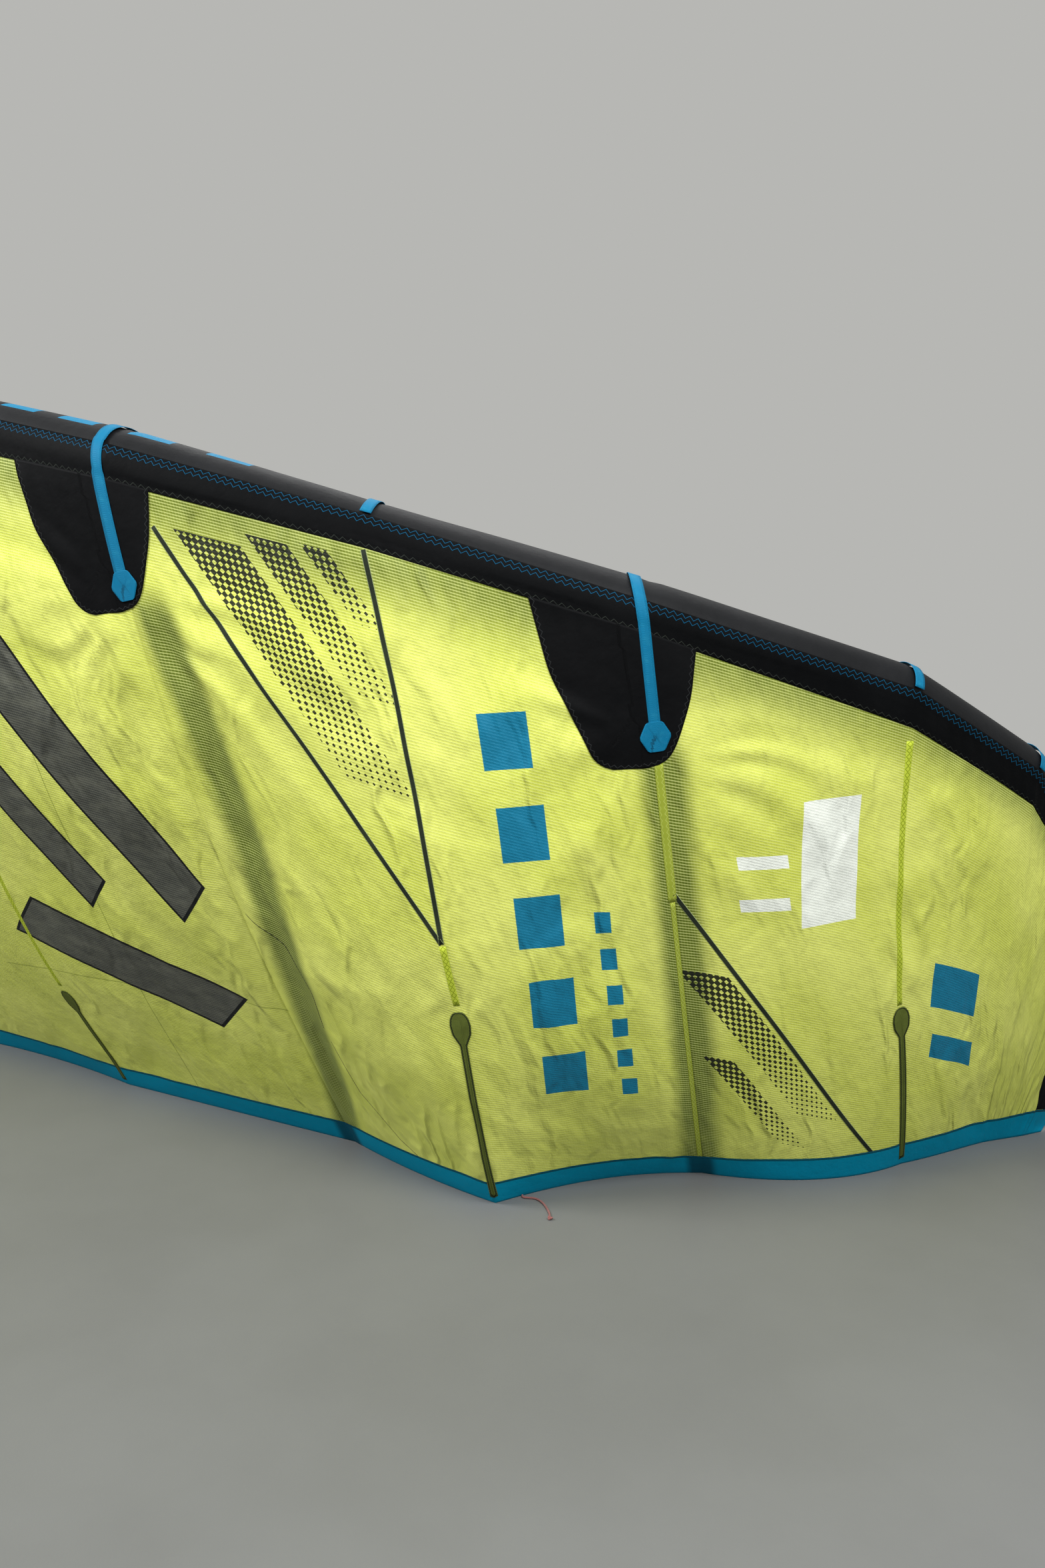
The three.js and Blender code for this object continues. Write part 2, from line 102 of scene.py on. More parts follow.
@dataclass(frozen=True)
class Hollow:
    """The dark hollow in the cloth beside a strut, in metres.

    It bends away from the strut line by bow at the middle of the cloth, whose length is down the
    strut line. dark is the share of shade in it.
    """

    station: int
    length: float
    bow: float
    reach: float
    depth: float
    dark: float

    def shift(self, down: "Array | Value") -> "Array | Value":
        """Distance of the hollow's middle from the strut line, at metres down the cloth."""
        return self.bow * 4 / self.length**2 * down * (self.length - down)


HOLLOWS = (
    Hollow(station=0, length=1.955, bow=0.0, reach=0.055, depth=0.0, dark=0.75),
    Hollow(station=2, length=1.779, bow=0.1, reach=0.055, depth=0.014, dark=0.97),
    Hollow(station=4, length=1.442, bow=0.012, reach=0.06, depth=0.004, dark=0.95),
)


@dataclass(frozen=True)
class Crease:
    """One family of long creases: how far it leans in degrees, its weight and its width in metres."""

    turn: float
    weight: float
    width: float


@dataclass(frozen=True)
class Wrinkles:
    """Heights, widths and reaches of the cloth's wrinkles, in metres."""

    billow: float = 0.007
    billow_size: Pair = (0.42, 0.36)
    creases: tuple[Crease, ...] = (Crease(28, 1.0, 0.085), Crease(-35, 0.9, 0.11), Crease(75, 0.6, 0.13))
    crease: float = 0.003
    crease_length: float = 0.5
    crease_wander: float = 0.05
    pucker: float = 0.0014
    pucker_pitch: float = 0.042
    pucker_reach: float = 0.09
    fan: float = 0.0065
    fan_rays: int = 11
    fan_drop: float = 0.26
    fan_reach: float = 0.4
    strut_reach: float = 0.04
    patch_reach: float = 0.13
    tip: Pair = (5.6, 6.6)
    seam: float = 0.0016
    seam_reach: float = 0.012


WRINKLES = Wrinkles()


def unit(vectors: Array) -> Array:
    """Vectors of length one, along the last axis."""
    return vectors / np.maximum(np.linalg.norm(vectors, axis=-1, keepdims=True), 1e-12)


def smoothstep(low: float, high: float, value: Array) -> Array:
    """A smooth rise from 0 at low to 1 at high."""
    share = np.clip((np.asarray(value, float) - low) / (high - low), 0, 1)
    return share * share * (3 - 2 * share)


class PlaneNoise:
    """Smooth seeded noise from -1 to 1 on a plane."""

    SIZE = 256

    def __init__(self, seed: int) -> None:
        """Fills the grid of values.

        Args:
            seed: fixes the values.
        """
        self.grid = np.random.default_rng(seed).uniform(-1, 1, (self.SIZE, self.SIZE))

    def at(self, u: Array, v: Array) -> Array:
        """Noise at places given in cells.

        Args:
            u: first coordinate.
            v: second coordinate.

        Returns:
            The value at each place.
        """
        iu, iv = np.floor(u).astype(int), np.floor(v).astype(int)
        fu, fv = u - iu, v - iv
        fu, fv = fu * fu * (3 - 2 * fu), fv * fv * (3 - 2 * fv)
        rows = [self.corner(iu, iv + j) * (1 - fu) + self.corner(iu + 1, iv + j) * fu for j in (0, 1)]
        return rows[0] * (1 - fv) + rows[1] * fv

    def corner(self, i: Array, j: Array) -> Array:
        """Values of grid corners, which repeat past the grid's edge."""
        return self.grid[i % self.SIZE, j % self.SIZE]


class Skin:
    """The outer surface. x runs along the wing in stations, t down the cloth from 0 to 1.

    EVENED is how many stations to each side a direction is evened out over.
    """

    EVENED = 0.03

    def __init__(self, stations: Sequence[Station]) -> None:
        """Works out each station's directions.

        Args:
            stations: the sections of the right half, from the middle to the tip.
        """
        shift = np.array([0, BACK_SHIFT, 0])
        self.nose = np.array([s.nose for s in stations]) + shift
        self.foot = np.array([(*s.foot, 0.0) for s in stations]) + shift
        steps = unit(np.diff(self.nose, axis=0))
        middle = np.array([[1.0, 0.0, 0.0]])
        arriving = np.vstack([middle, steps])
        leaving = np.vstack([steps, steps[-1:]])
        self.axis = np.vstack([middle, unit(arriving + leaving)[1:]])
        chord = self.foot - self.nose
        self.length = np.linalg.norm(chord, axis=1)
        self.down = unit(chord)
        self.out = unit(np.cross(self.down, self.axis))
        self.up = np.cross(self.out, self.axis)
        self.radius, self.seam, self.leave, self.top, self.tuck, self.sway, self.lap = (
            np.array([getattr(s, name) for s in stations], float)
            for name in ("radius", "seam", "leave", "top", "tuck", "sway", "lap")
        )
        gaps = np.linalg.norm(np.diff(self.nose, axis=0), axis=1)
        self.along = np.concatenate([[0], np.cumsum(gaps)])
        self.noises = [PlaneNoise(seed) for seed in (11, 23, 37, 53)]

    def value(self, name: str, x: Array) -> Array:
        """A station measure at places along the wing.

        Args:
            name: the measure, such as "radius".
            x: places in stations, below zero on the left.

        Returns:
            The measure at each place.
        """
        return np.interp(np.abs(x), np.arange(TIP + 1), getattr(self, name))

    def direction(self, name: str, x: Array) -> Array:
        """A station direction or point at places along the right half, not yet of length one.

        Args:
            name: "nose", "out", "up" or "axis".
            x: places in stations, all above zero.

        Returns:
            One vector for each place.
        """
        values = getattr(self, name)
        index = np.minimum(np.floor(x).astype(int), TIP - 1)
        share = (x - index)[:, None]
        return values[index] * (1 - share) + values[index + 1] * share

    @staticmethod
    def mirrored(points: Array, x: Array) -> Array:
        """The points with those of the left half moved across.

        Args:
            points: points or directions of the right half.
            x: places in stations, below zero on the left.

        Returns:
            The changed points.
        """
        points[..., 0] *= np.where(x < 0, -1, 1)
        return points

    def sections(self, t: Array) -> Array:
        """All nine section curves at the shares t.

        Args:
            t: shares down the cloth.

        Returns:
            An array of places by stations by three.
        """
        t = t[:, None, None]
        slant = np.sum(self.down * self.axis, axis=1)[:, None]
        across = np.sqrt(1 - slant * slant)
        top, tuck = np.radians(self.top)[:, None], np.radians(self.tuck)[:, None]
        leave, length = np.radians(self.leave)[:, None], self.length[:, None]
        round_tube = self.out * np.cos(leave) + self.up * np.sin(leave)
        start = self.nose + round_tube * self.radius[:, None]
        first = self.out * np.sin(top) * across - self.up * np.cos(top) * across + self.axis * slant
        last = self.down * np.cos(tuck) - self.out * np.sin(tuck)
        t2, t3 = t * t, t * t * t
        curve = start * (2 * t3 - 3 * t2 + 1) + first * length * (t3 - 2 * t2 + t)
        curve = curve + self.foot * (3 * t2 - 2 * t3) + last * length * (t3 - t2)
        return curve + self.axis * self.sway[:, None] * 4 * t * (1 - t)

    def bare(self, x: Array, t: Array) -> Array:
        """Points of the smooth cloth, with no wrinkles.

        Args:
            x: places in stations, below zero on the left.
            t: shares down the cloth.

        Returns:
            One point for each pair.
        """
        side = np.minimum(np.abs(x), TIP)
        ends = np.array(PANEL_ENDS)
        panel = np.clip(np.searchsorted(ends, side, side="left"), 1, len(ends) - 1)
        first, last = ends[panel - 1], ends[panel]
        index = np.minimum(np.floor(side).astype(int), last - 1)
        f = (side - index)[:, None]
        rows, curves = np.arange(len(side)), self.sections(t)
        a, b, before, after = (curves[rows, np.clip(index + step, 0, TIP)] for step in (0, 1, -1, 2))
        before = np.where((index > first)[:, None], before, 3 * a - 3 * b + after)
        after = np.where((index + 2 <= last)[:, None], after, 3 * b - 3 * a + before)
        f2, f3 = f * f, f * f * f
        smooth = a * (1 - 2.5 * f2 + 1.5 * f3) + before * (-0.5 * f + f2 - 0.5 * f3)
        smooth = smooth + b * (0.5 * f + 2 * f2 - 1.5 * f3) + after * (-0.5 * f2 + 0.5 * f3)
        share = (smoothstep(0, 0.22, t) * (1 - 0.75 * smoothstep(0.6, 1, t)))[:, None]
        point = (a * (1 - f) + b * f) * (1 - share) + smooth * share
        out = unit(self.direction("out", side) * np.array([1, 1, 0]))
        bow = EDGE_BOW[index] * (4 * f * (1 - f))[:, 0] * t**3
        return self.mirrored(point + out * bow[:, None], x)

    def normal(self, x: Array, t: Array) -> Array:
        """Outward directions of the smooth cloth, evened out at the strut lines.

        Args:
            x: places in stations, below zero on the left.
            t: shares down the cloth.

        Returns:
            One direction of length one for each pair.
        """
        low, high = np.maximum(t - 0.004, 0), np.minimum(t + 0.004, 1)
        drop = self.bare(x, low) - self.bare(x, high)
        left, here = np.maximum(x - self.EVENED, -TIP), self.bare(x, t)
        right = np.minimum(x + self.EVENED, TIP)
        before = np.cross(here - self.bare(left, t), drop)
        after = np.cross(self.bare(right, t) - here, drop)
        lengths = [np.linalg.norm(v, axis=1)[:, None] for v in (before, after)]
        before, after = (np.where(n > 1e-9, unit(v), 0) for v, n in zip((before, after), lengths))
        return unit(before + after)

    def flat(self, x: Array, t: Array) -> tuple[Array, Array]:
        """Metres along the wing and down the cloth.

        Args:
            x: places in stations, below zero on the left.
            t: shares down the cloth.

        Returns:
            The distance along, below zero on the left, and the distance down.
        """
        return self.value("along", x) * np.sign(x), t * self.value("length", x)

    def relief(self, x: Array, t: Array) -> Array:
        """Height of the wrinkles over the smooth cloth, in metres.

        Args:
            x: places in stations, below zero on the left.
            t: shares down the cloth.

        Returns:
            The height at each place.
        """
        s, d = self.flat(x, t)
        half = np.sign(x + 1e-9)
        height = self.creased(s, d)
        for station in STRUT_STATIONS:
            height = self.pulled(height, s - half * self.along[station], d, station)
        height = height * (1 - 0.5 * smoothstep(*WRINKLES.tip, np.abs(x)))
        foot = smoothstep(0, 0.25, self.value("length", x) - d)
        for hollow in HOLLOWS:
            away = s * half - self.along[hollow.station]
            free = 1 - np.exp(-((away / 0.05) ** 4))
            pressed = np.exp(-(((away - hollow.shift(d)) / hollow.reach) ** 2))
            raised = 0.5 * np.exp(-(((away + 0.06) / 0.04) ** 2))
            height = height + hollow.depth * (smoothstep(0.22, 0.36, d) * foot) * free * (raised - pressed)
        for station in SEAM_STATIONS:
            away = s - half * self.along[station]
            height = height - WRINKLES.seam * np.exp(-((away / WRINKLES.seam_reach) ** 2))
        edge = smoothstep(0, 0.03, t) * 0.7 + 0.3
        return height * edge * smoothstep(0, 0.07, 1 - t)

    def creased(self, s: Array, d: Array) -> Array:
        """Height of the billows, of the long creases and of the puckers under the strip.

        Args:
            s: metres along the wing.
            d: metres down the cloth.

        Returns:
            The height at each place.
        """
        broad, folds, fine, bends = self.noises
        wide, long = WRINKLES.billow_size
        height = WRINKLES.billow * broad.at(s / wide + 40, d / long + 40)
        wander = WRINKLES.crease_wander * bends.at(s / 0.3 + 9, d / 0.3 + 9)
        for family in WRINKLES.creases:
            turn = family.turn
            c, r = math.cos(math.radians(turn)), math.sin(math.radians(turn))
            u, v = s * c + d * r + wander, d * c - s * r
            crease = 1 - 2 * np.abs(folds.at(u / family.width + 90, v / WRINKLES.crease_length + turn + 90))
            patchy = smoothstep(-0.2, 0.7, broad.at(s / 0.3 + turn, d / 0.3 + 3 * turn))
            height = height + WRINKLES.crease * family.weight * crease * patchy
        uneven = 2.5 * fine.at(s / 0.15 + 5, d / 0.15 + 5)
        pucker = np.cos(2 * np.pi * s / WRINKLES.pucker_pitch + uneven)
        return height + WRINKLES.pucker * pucker * np.exp(-d / WRINKLES.pucker_reach)

    def pulled(self, height: Array, away: Array, d: Array, station: int) -> Array:
        """The cloth by a strut, with a fan of wrinkles under the strap and none on the strut or patch.

        Args:
            height: the height before it.
            away: metres from the strut line.
            d: metres down the cloth.
            station: the strut's station.

        Returns:
            The new height.
        """
        below = d - WRINKLES.fan_drop
        reach, angle = np.hypot(away, below), np.arctan2(away, below)
        bends = self.noises[3].at(reach / 0.22 + station, angle * 2 + 20)
        fan = np.cos(WRINKLES.fan_rays * angle + 4 * bends)
        near = smoothstep(0.08, 0.22, reach) * np.exp(-reach / WRINKLES.fan_reach)
        height = height + WRINKLES.fan * fan * near * smoothstep(-0.2, 0, below)
        stiff = np.exp(-((away / WRINKLES.patch_reach) ** 2)) * smoothstep(0.31, 0.24, d)
        on_strut = np.exp(-((away / WRINKLES.strut_reach) ** 2))
        return height * (1 - 0.9 * on_strut) * (1 - 0.85 * stiff)

    def cloth(self, x: Array, t: Array, height: float | Array = 0.0) -> Array:
        """Points over the wrinkled cloth.

        Args:
            x: places in stations, below zero on the left.
            t: shares down the cloth.
            height: distance out of the cloth in metres.

        Returns:
            One point for each pair, never under the floor.
        """
        rise = np.broadcast_to(self.relief(x, t) + height, x.shape)
        point = self.bare(x, t) + self.normal(x, t) * rise[:, None]
        point[:, 2] = np.where(t >= 0.9999, 0.0, np.maximum(point[:, 2], 0.0))
        return point

    def tube(self, x: Array, degrees: Array, height: float | Array, slide: float | Array = 0.0) -> Array:
        """Points round the tube.

        Args:
            x: places in stations, below zero on the left.
            degrees: angles from the front of the tube over its top.
            height: distance out of the tube in metres.
            slide: distance towards the tip in metres.

        Returns:
            One point for each pair.
        """
        side, angle = np.abs(x), np.radians(degrees)[:, None]
        out, up = unit(self.direction("out", side)), unit(self.direction("up", side))
        spread = np.broadcast_to(self.value("radius", x) + height, x.shape)[:, None]
        point = self.direction("nose", side) + (out * np.cos(angle) + up * np.sin(angle)) * spread
        shift = np.broadcast_to(slide, x.shape)[:, None]
        return self.mirrored(point + unit(self.direction("axis", side)) * shift, x)

    def find(self, pattern: "Pattern", places: Array) -> tuple[Array, Array]:
        """Where points of a flat pattern fall on the smooth cloth.

        Args:
            pattern: where the pattern lies.
            places: pattern points, one row of two lengths in metres for each.

        Returns:
            Stations and shares of the points.
        """
        origin, side, up = pattern.origin, pattern.side, pattern.up
        x = np.full(len(places), pattern.station, float)
        t = np.full(len(places), pattern.share, float)
        for _ in range(8):
            t = np.clip(t, 0, 0.9999)
            here = self.bare(x, t)
            step_x, step_t = 0.01, np.where(t > 0.9, -0.002, 0.002)
            by_x = (self.bare(x + step_x, t) - here) / step_x
            by_t = (self.bare(x, t + step_t) - here) / step_t[:, None]
            miss = places - np.stack([(here - origin) @ side, (here - origin) @ up], axis=1)
            a, b, c, d = by_x @ side, by_t @ side, by_x @ up, by_t @ up
            det = a * d - b * c
            x = x + np.clip((miss[:, 0] * d - b * miss[:, 1]) / det, -0.4, 0.4)
            t = t + np.clip((a * miss[:, 1] - miss[:, 0] * c) / det, -0.2, 0.2)
        return x, np.clip(t, 0, 1)


SKIN = Skin(STATIONS)


@dataclass(frozen=True)
class Pattern:
    """A flat pattern held against the cloth, with its zero point at a station and a share down."""

    station: float
    share: float
    origin: Array
    side: Array
    up: Array

    @classmethod
    def between(cls, station: float, top: float, foot: float, zero: float, facing: float) -> "Pattern":
        """A pattern along the line from one share down a station to another.

        Args:
            station: the line's station, below zero on the left.
            top: share at the line's top.
            foot: share at its foot.
            zero: share at the pattern's zero point.
            facing: share where the pattern lies square to the cloth.

        Returns:
            The pattern, which rises from the foot to the top.
        """
        x = np.full(3, float(station))
        ends = SKIN.bare(x, np.array([top, foot, zero]))
        up = unit(ends[0] - ends[1])
        normal = SKIN.normal(x[:1], np.array([facing]))[0]
        return cls(station, zero, ends[2], unit(np.cross(up, normal)), up)

    def outward(self) -> Array:
        """The cloth's outward direction at the zero point."""
        return SKIN.normal(np.array([self.station]), np.array([self.share]))[0]


# Meshes


@dataclass(frozen=True)
class Layer:
    """Heights of a sheet's two faces over the skin, in metres."""

    inner: float
    outer: float


class Layers(Enum):
    """The sheets that lie on each other, from the inside out."""

    CANOPY = Layer(0.0010, 0.0018)
    TAPE = Layer(0.0020, 0.0024)
    STRIP = Layer(0.0021, 0.0028)
    BAND = Layer(0.0008, 0.0018)
    PATCH = Layer(0.0030, 0.0037)
    STRAP = Layer(0.0040, 0.0052)
    PAD = Layer(0.0053, 0.0063)


def new_object(name: str, points: Array, faces: Array, maps: dict[str, Array]) -> bpy.types.Object:
    """A smooth mesh object with maps of metres.

    Args:
        name: the piece's name.
        points: the corners.
        faces: four corner numbers a row.
        maps: for each map its place of each corner.

    Returns:
        The linked object.
    """
    mesh = bpy.data.meshes.new(name)
    mesh.from_pydata(points.tolist(), [], [tuple(dict.fromkeys(f)) for f in faces.tolist()])
    corners = np.zeros(len(mesh.loops), np.int32)
    mesh.loops.foreach_get("vertex_index", corners)
    for title, places in maps.items():
        layer = mesh.uv_layers.new(name=title)
        layer.data.foreach_set("uv", places[corners].astype(np.float32).ravel())
    mesh.polygons.foreach_set("use_smooth", [True] * len(mesh.polygons))
    mesh.update()
    made = bpy.data.objects.new(name, mesh)
    bpy.context.scene.collection.objects.link(made)
    return made


def grid_faces(rows: int, columns: int, start: int = 0, wrap: bool = False) -> Array:
    """Faces of a grid whose corners are numbered row by row.

    Args:
        rows: corners down.
        columns: corners across.
        start: number of the first corner.
        wrap: whether the last column joins the first.

    Returns:
        Four corner numbers a row.
    """
    down = np.arange(rows - 1)[:, None] * columns
    across = np.arange(columns if wrap else columns - 1)[None, :]
    right = (across + 1) % columns
    corners = [down + across, down + columns + across, down + columns + right, down + right]
    return start + np.stack(corners, axis=-1).reshape(-1, 4)


def closed_sheet(name: str, outer: Array, inner: Array, maps: dict[str, Array]) -> bpy.types.Object:
    """A thin closed sheet between two grids of points.

    Args:
        name: the piece's name.
        outer: rows by columns by three, the outer face.
        inner: the same for the inner face.
        maps: for each map, rows by columns by two.

    Returns:
        The linked object.
    """
    rows, columns = outer.shape[:2]
    count = rows * columns
    front = grid_faces(rows, columns)
    back = grid_faces(rows, columns, count)[:, ::-1]
    top = np.arange(columns)
    loop = np.concatenate([
        top, top[-1] + columns * np.arange(1, rows),
        count - 1 - np.arange(1, columns), (columns * np.arange(1, rows - 1))[::-1],
    ])
    following = np.roll(loop, -1)
    rim = np.stack([loop, following, following + count, loop + count], axis=1)
    points = np.vstack([outer.reshape(-1, 3), inner.reshape(-1, 3)])
    both = {title: np.vstack([places.reshape(-1, 2)] * 2) for title, places in maps.items()}
    return new_object(name, points, np.vstack([front, back, rim]), both)


def lofted(name: str, rings: Array, uv: Array) -> bpy.types.Object:
    """A tube through rings of points, closed at each end round a middle point.

    Args:
        name: the piece's name.
        rings: rings by sides by three.
        uv: rings by sides by two.

    Returns:
        The linked object.
    """
    count, sides = rings.shape[:2]
    points, maps = rings.reshape(-1, 3), uv.reshape(-1, 2)
    faces = [grid_faces(count, sides, wrap=True)]
    around = np.arange(sides)
    for ring, first in ((0, 0), (-1, (count - 1) * sides)):
        middle = len(points)
        points = np.vstack([points, rings[ring].mean(axis=0)])
        maps = np.vstack([maps, uv[ring].mean(axis=0)])
        pair = [first + (around + 1) % sides, first + around]
        pair = pair if ring == 0 else pair[::-1]
        faces.append(np.stack([np.full(sides, middle), *pair, pair[1]], axis=1))
    return new_object(name, points, np.vstack(faces), {CLOTH_MAP: maps})


def distances(line: Array) -> Array:
    """Distance walked to each point of a line."""
    return np.concatenate([[0], np.cumsum(np.linalg.norm(np.diff(line, axis=0), axis=1))])


def rounded(corners: Sequence[Pair], bend: float, spacing: float) -> Array:
    """A closed outline with its corners cut round and evenly spaced points.

    Args:
        corners: the outline's corners in metres.
        bend: how far from a corner its curve starts.
        spacing: distance between the points.

    Returns:
        One row of two lengths for each point.
    """
    sharp = np.array(corners, float)
    path: list[Array] = []
    for before, here, after in zip(np.roll(sharp, 1, axis=0), sharp, np.roll(sharp, -1, axis=0)):
        sides = [p - here for p in (before, after)]
        ends = [here + unit(side) * min(bend, 0.45 * float(np.linalg.norm(side))) for side in sides]
        for f in np.linspace(0, 1, 6):
            path.append(ends[0] * (1 - f) ** 2 + here * 2 * f * (1 - f) + ends[1] * f * f)
    line = np.array([*path, path[0]])
    walked = distances(line)
    even = np.linspace(0, walked[-1], max(int(walked[-1] / spacing), 12), endpoint=False)
    return np.stack([np.interp(even, walked, line[:, i]) for i in (0, 1)], axis=1)


def along_edge(places: Array, outline: Array) -> Array:
    """Where each place lies by an outline.

    Args:
        places: one row of two lengths each.
        outline: the outline's points in order.

    Returns:
        For each place the distance walked along the outline and the distance from it.
    """
    line = np.roll(outline, -1, axis=0) - outline
    lengths = np.maximum(np.linalg.norm(line, axis=1), 1e-9)
    start = np.concatenate([[0], np.cumsum(lengths)[:-1]])
    share = np.clip(np.sum((places[:, None] - outline) * line, axis=2) / lengths**2, 0, 1)
    apart = np.linalg.norm(places[:, None] - outline - share[..., None] * line, axis=2)
    best = apart.argmin(axis=1)
    rows = np.arange(len(places))
    return np.stack([start[best] + share[rows, best] * lengths[best], apart[rows, best]], axis=1)


# Node graphs


class Value:
    """A number that changes over a surface, with the usual arithmetic."""

    def __init__(self, graph: "Graph", socket: Socket) -> None:
        """Wraps an output.

        Args:
            graph: the material's graph.
            socket: the output that gives the number.
        """
        self.graph = graph
        self.socket = socket

    def __add__(self, other: "Number") -> "Value":
        """Sum."""
        return self.graph.maths("ADD", self, other)

    def __sub__(self, other: "Number") -> "Value":
        """Difference."""
        return self.graph.maths("SUBTRACT", self, other)

    def __rsub__(self, other: float) -> "Value":
        """Difference from a number."""
        return self.graph.maths("SUBTRACT", other, self)

    def __mul__(self, other: "Number") -> "Value":
        """Product."""
        return self.graph.maths("MULTIPLY", self, other)

    def __truediv__(self, other: "Number") -> "Value":
        """Quotient."""
        return self.graph.maths("DIVIDE", self, other)

    def __abs__(self) -> "Value":
        """Size without its sign."""
        return self.graph.maths("ABSOLUTE", self)

    __radd__ = __add__
    __rmul__ = __mul__

    def fraction(self) -> "Value":
        """What is left over a whole number."""
        return self.graph.maths("FRACT", self)

    def below(self, limit: "Number") -> "Value":
        """1 where the value is under the limit."""
        return self.graph.maths("LESS_THAN", self, limit)

    def least(self, other: "Number") -> "Value":
        """The smaller of two numbers."""
        return self.graph.maths("MINIMUM", self, other)

    def most(self, other: "Number") -> "Value":
        """The larger of two numbers."""
        return self.graph.maths("MAXIMUM", self, other)

    def rise(self, low: float, high: float) -> "Value":
        """A smooth rise from 0 at low to 1 at high.

        Args:
            low: where the rise starts.
            high: where it ends, which may be under low.

        Returns:
            The share.
        """
        inputs = {"Value": self, "From Min": low, "From Max": high}
        node = self.graph.node("ShaderNodeMapRange", {"interpolation_type": "SMOOTHSTEP"}, inputs)
        return Value(self.graph, node.outputs[0])


Number = Value | float
Paint = Socket | Colour


class Graph:
    """A material and the ways its nodes are made."""

    def __init__(self, name: str) -> None:
        """Makes an empty material.

        Args:
            name: the material's name.
        """
        self.material = bpy.data.materials.new(name)
        self.material.use_nodes = True
        self.tree = self.material.node_tree
        self.tree.nodes.clear()

    def node(self, kind: str, settings: dict | None = None, inputs: dict | None = None) -> bpy.types.Node:
        """Makes a node.

        Args:
            kind: the node's type.
            settings: its own settings, set first.
            inputs: values or links of its sockets, by name or number.

        Returns:
            The node.
        """
        made = self.tree.nodes.new(kind)
        for key, setting in (settings or {}).items():
            setattr(made, key, setting)
        for key, given in (inputs or {}).items():
            source = given.socket if isinstance(given, Value) else given
            if isinstance(source, Socket):
                self.tree.links.new(source, made.inputs[key])
            elif made.inputs[key].type == "RGBA":
                made.inputs[key].default_value = (*source, 1.0)
            else:
                made.inputs[key].default_value = source
        return made

    def maths(self, operation: str, *numbers: Number) -> Value:
        """A Math node.

        Args:
            operation: its operation.
            numbers: what it works on.

        Returns:
            Its result.
        """
        node = self.node("ShaderNodeMath", {"operation": operation}, dict(enumerate(numbers)))
        return Value(self, node.outputs[0])

    def map(self, name: str = CLOTH_MAP) -> tuple[Value, Value, Socket]:
        """Metres on the surface.

        Args:
            name: the map.

        Returns:
            Its two lengths and both as a vector.
        """
        places = self.node("ShaderNodeUVMap", {"uv_map": name}).outputs[0]
        parts = self.node("ShaderNodeSeparateXYZ", None, {0: places})
        return Value(self, parts.outputs[0]), Value(self, parts.outputs[1]), places

    def scaled(self, places: Socket, along: float, down: float) -> Socket:
        """Places on the cloth, stretched by one number for each direction."""
        scale = (along, down, 1.0)
        return self.node("ShaderNodeVectorMath", {"operation": "MULTIPLY"},
                         {0: places, 1: scale}).outputs[0]

    def noise(self, places: Socket, scale: float, detail: float, rough: float = 0.5) -> Value:
        """Cloudy noise.

        Args:
            places: where it is read.
            scale: cells per metre.
            detail: number of finer layers.
            rough: weight of the finer layers.

        Returns:
            A number from 0 to 1.
        """
        inputs = {"Vector": places, "Scale": scale, "Detail": detail, "Roughness": rough}
        return Value(self, self.node("ShaderNodeTexNoise", None, inputs).outputs[0])

    def blend(self, share: Number, first: Paint, second: Paint) -> Socket:
        """Two colours mixed.

        Args:
            share: how much of the second shows.
            first: the colour at 0.
            second: the colour at 1.

        Returns:
            The mixed colour.
        """
        return self.node("ShaderNodeMix", {"data_type": "RGBA"}, {0: share, 6: first, 7: second}).outputs[2]

    def distance(self, places: Socket, normal: Pair, offset: float) -> Value:
        """Signed distance from a line.

        Args:
            places: where it is read.
            normal: the direction across the line.
            offset: the line's own distance from zero.

        Returns:
            The distance in metres.
        """
        inputs = {0: places, 1: (*normal, 0.0)}
        node = self.node("ShaderNodeVectorMath", {"operation": "DOT_PRODUCT"}, inputs)
        return Value(self, node.outputs["Value"]) - offset

    def lines(self, across: Value, pitch: float, share: float) -> Value:
        """Even soft lines.

        Args:
            across: the length at right angles to them.
            pitch: distance between lines.
            share: how much of the pitch a line takes.

        Returns:
            1 on a line and 0 between.
        """
        return abs((across / pitch).fraction() - 0.5).rise(0.5 * share, 0.25 * share)

    def zigzag(self, u: Value, v: Value, row: float, stitch: "Stitch") -> Value:
        """A row of zigzag stitches.

        Args:
            u: length along the row.
            v: length across it.
            row: the row's place across.
            stitch: the stitch's sizes.

        Returns:
            1 on the thread.
        """
        swing = abs((u / stitch.pitch).fraction() - 0.5) * (2 * stitch.swing) - 0.5 * stitch.swing
        return abs(v - row - swing).rise(stitch.thread, 0.4 * stitch.thread)

    def bump(self, height: Value, depth: float, under: Socket | None = None) -> Socket:
        """A normal from a height.

        Args:
            height: a number from 0 to 1.
            depth: the height at 1 in metres.
            under: the normal it is added to.

        Returns:
            The normal.
        """
        inputs = {"Height": height, "Distance": depth}
        if under is not None:
            inputs["Normal"] = under
        return self.node("ShaderNodeBump", None, inputs).outputs[0]

    def finish(self, colour: Paint, roughness: Number, normal: Socket, **even: float) -> bpy.types.Material:
        """The surface itself.

        Args:
            colour: its colour.
            roughness: its roughness.
            normal: its normal.
            even: sockets that are the same all over, with spaces as underscores.

        Returns:
            The material.
        """
        inputs = {"Base Color": colour, "Roughness": roughness, "Normal": normal}
        inputs.update({name.replace("_", " "): number for name, number in even.items()})
        shader = self.node("ShaderNodeBsdfPrincipled", None, inputs)
        self.node("ShaderNodeOutputMaterial", None, {"Surface": shader.outputs[0]})
        return self.material


@dataclass(frozen=True)
class Stitch:
    """Sizes of a zigzag stitch in metres."""

    pitch: float = 0.016
    swing: float = 0.006
    thread: float = 0.0012


# Finishes


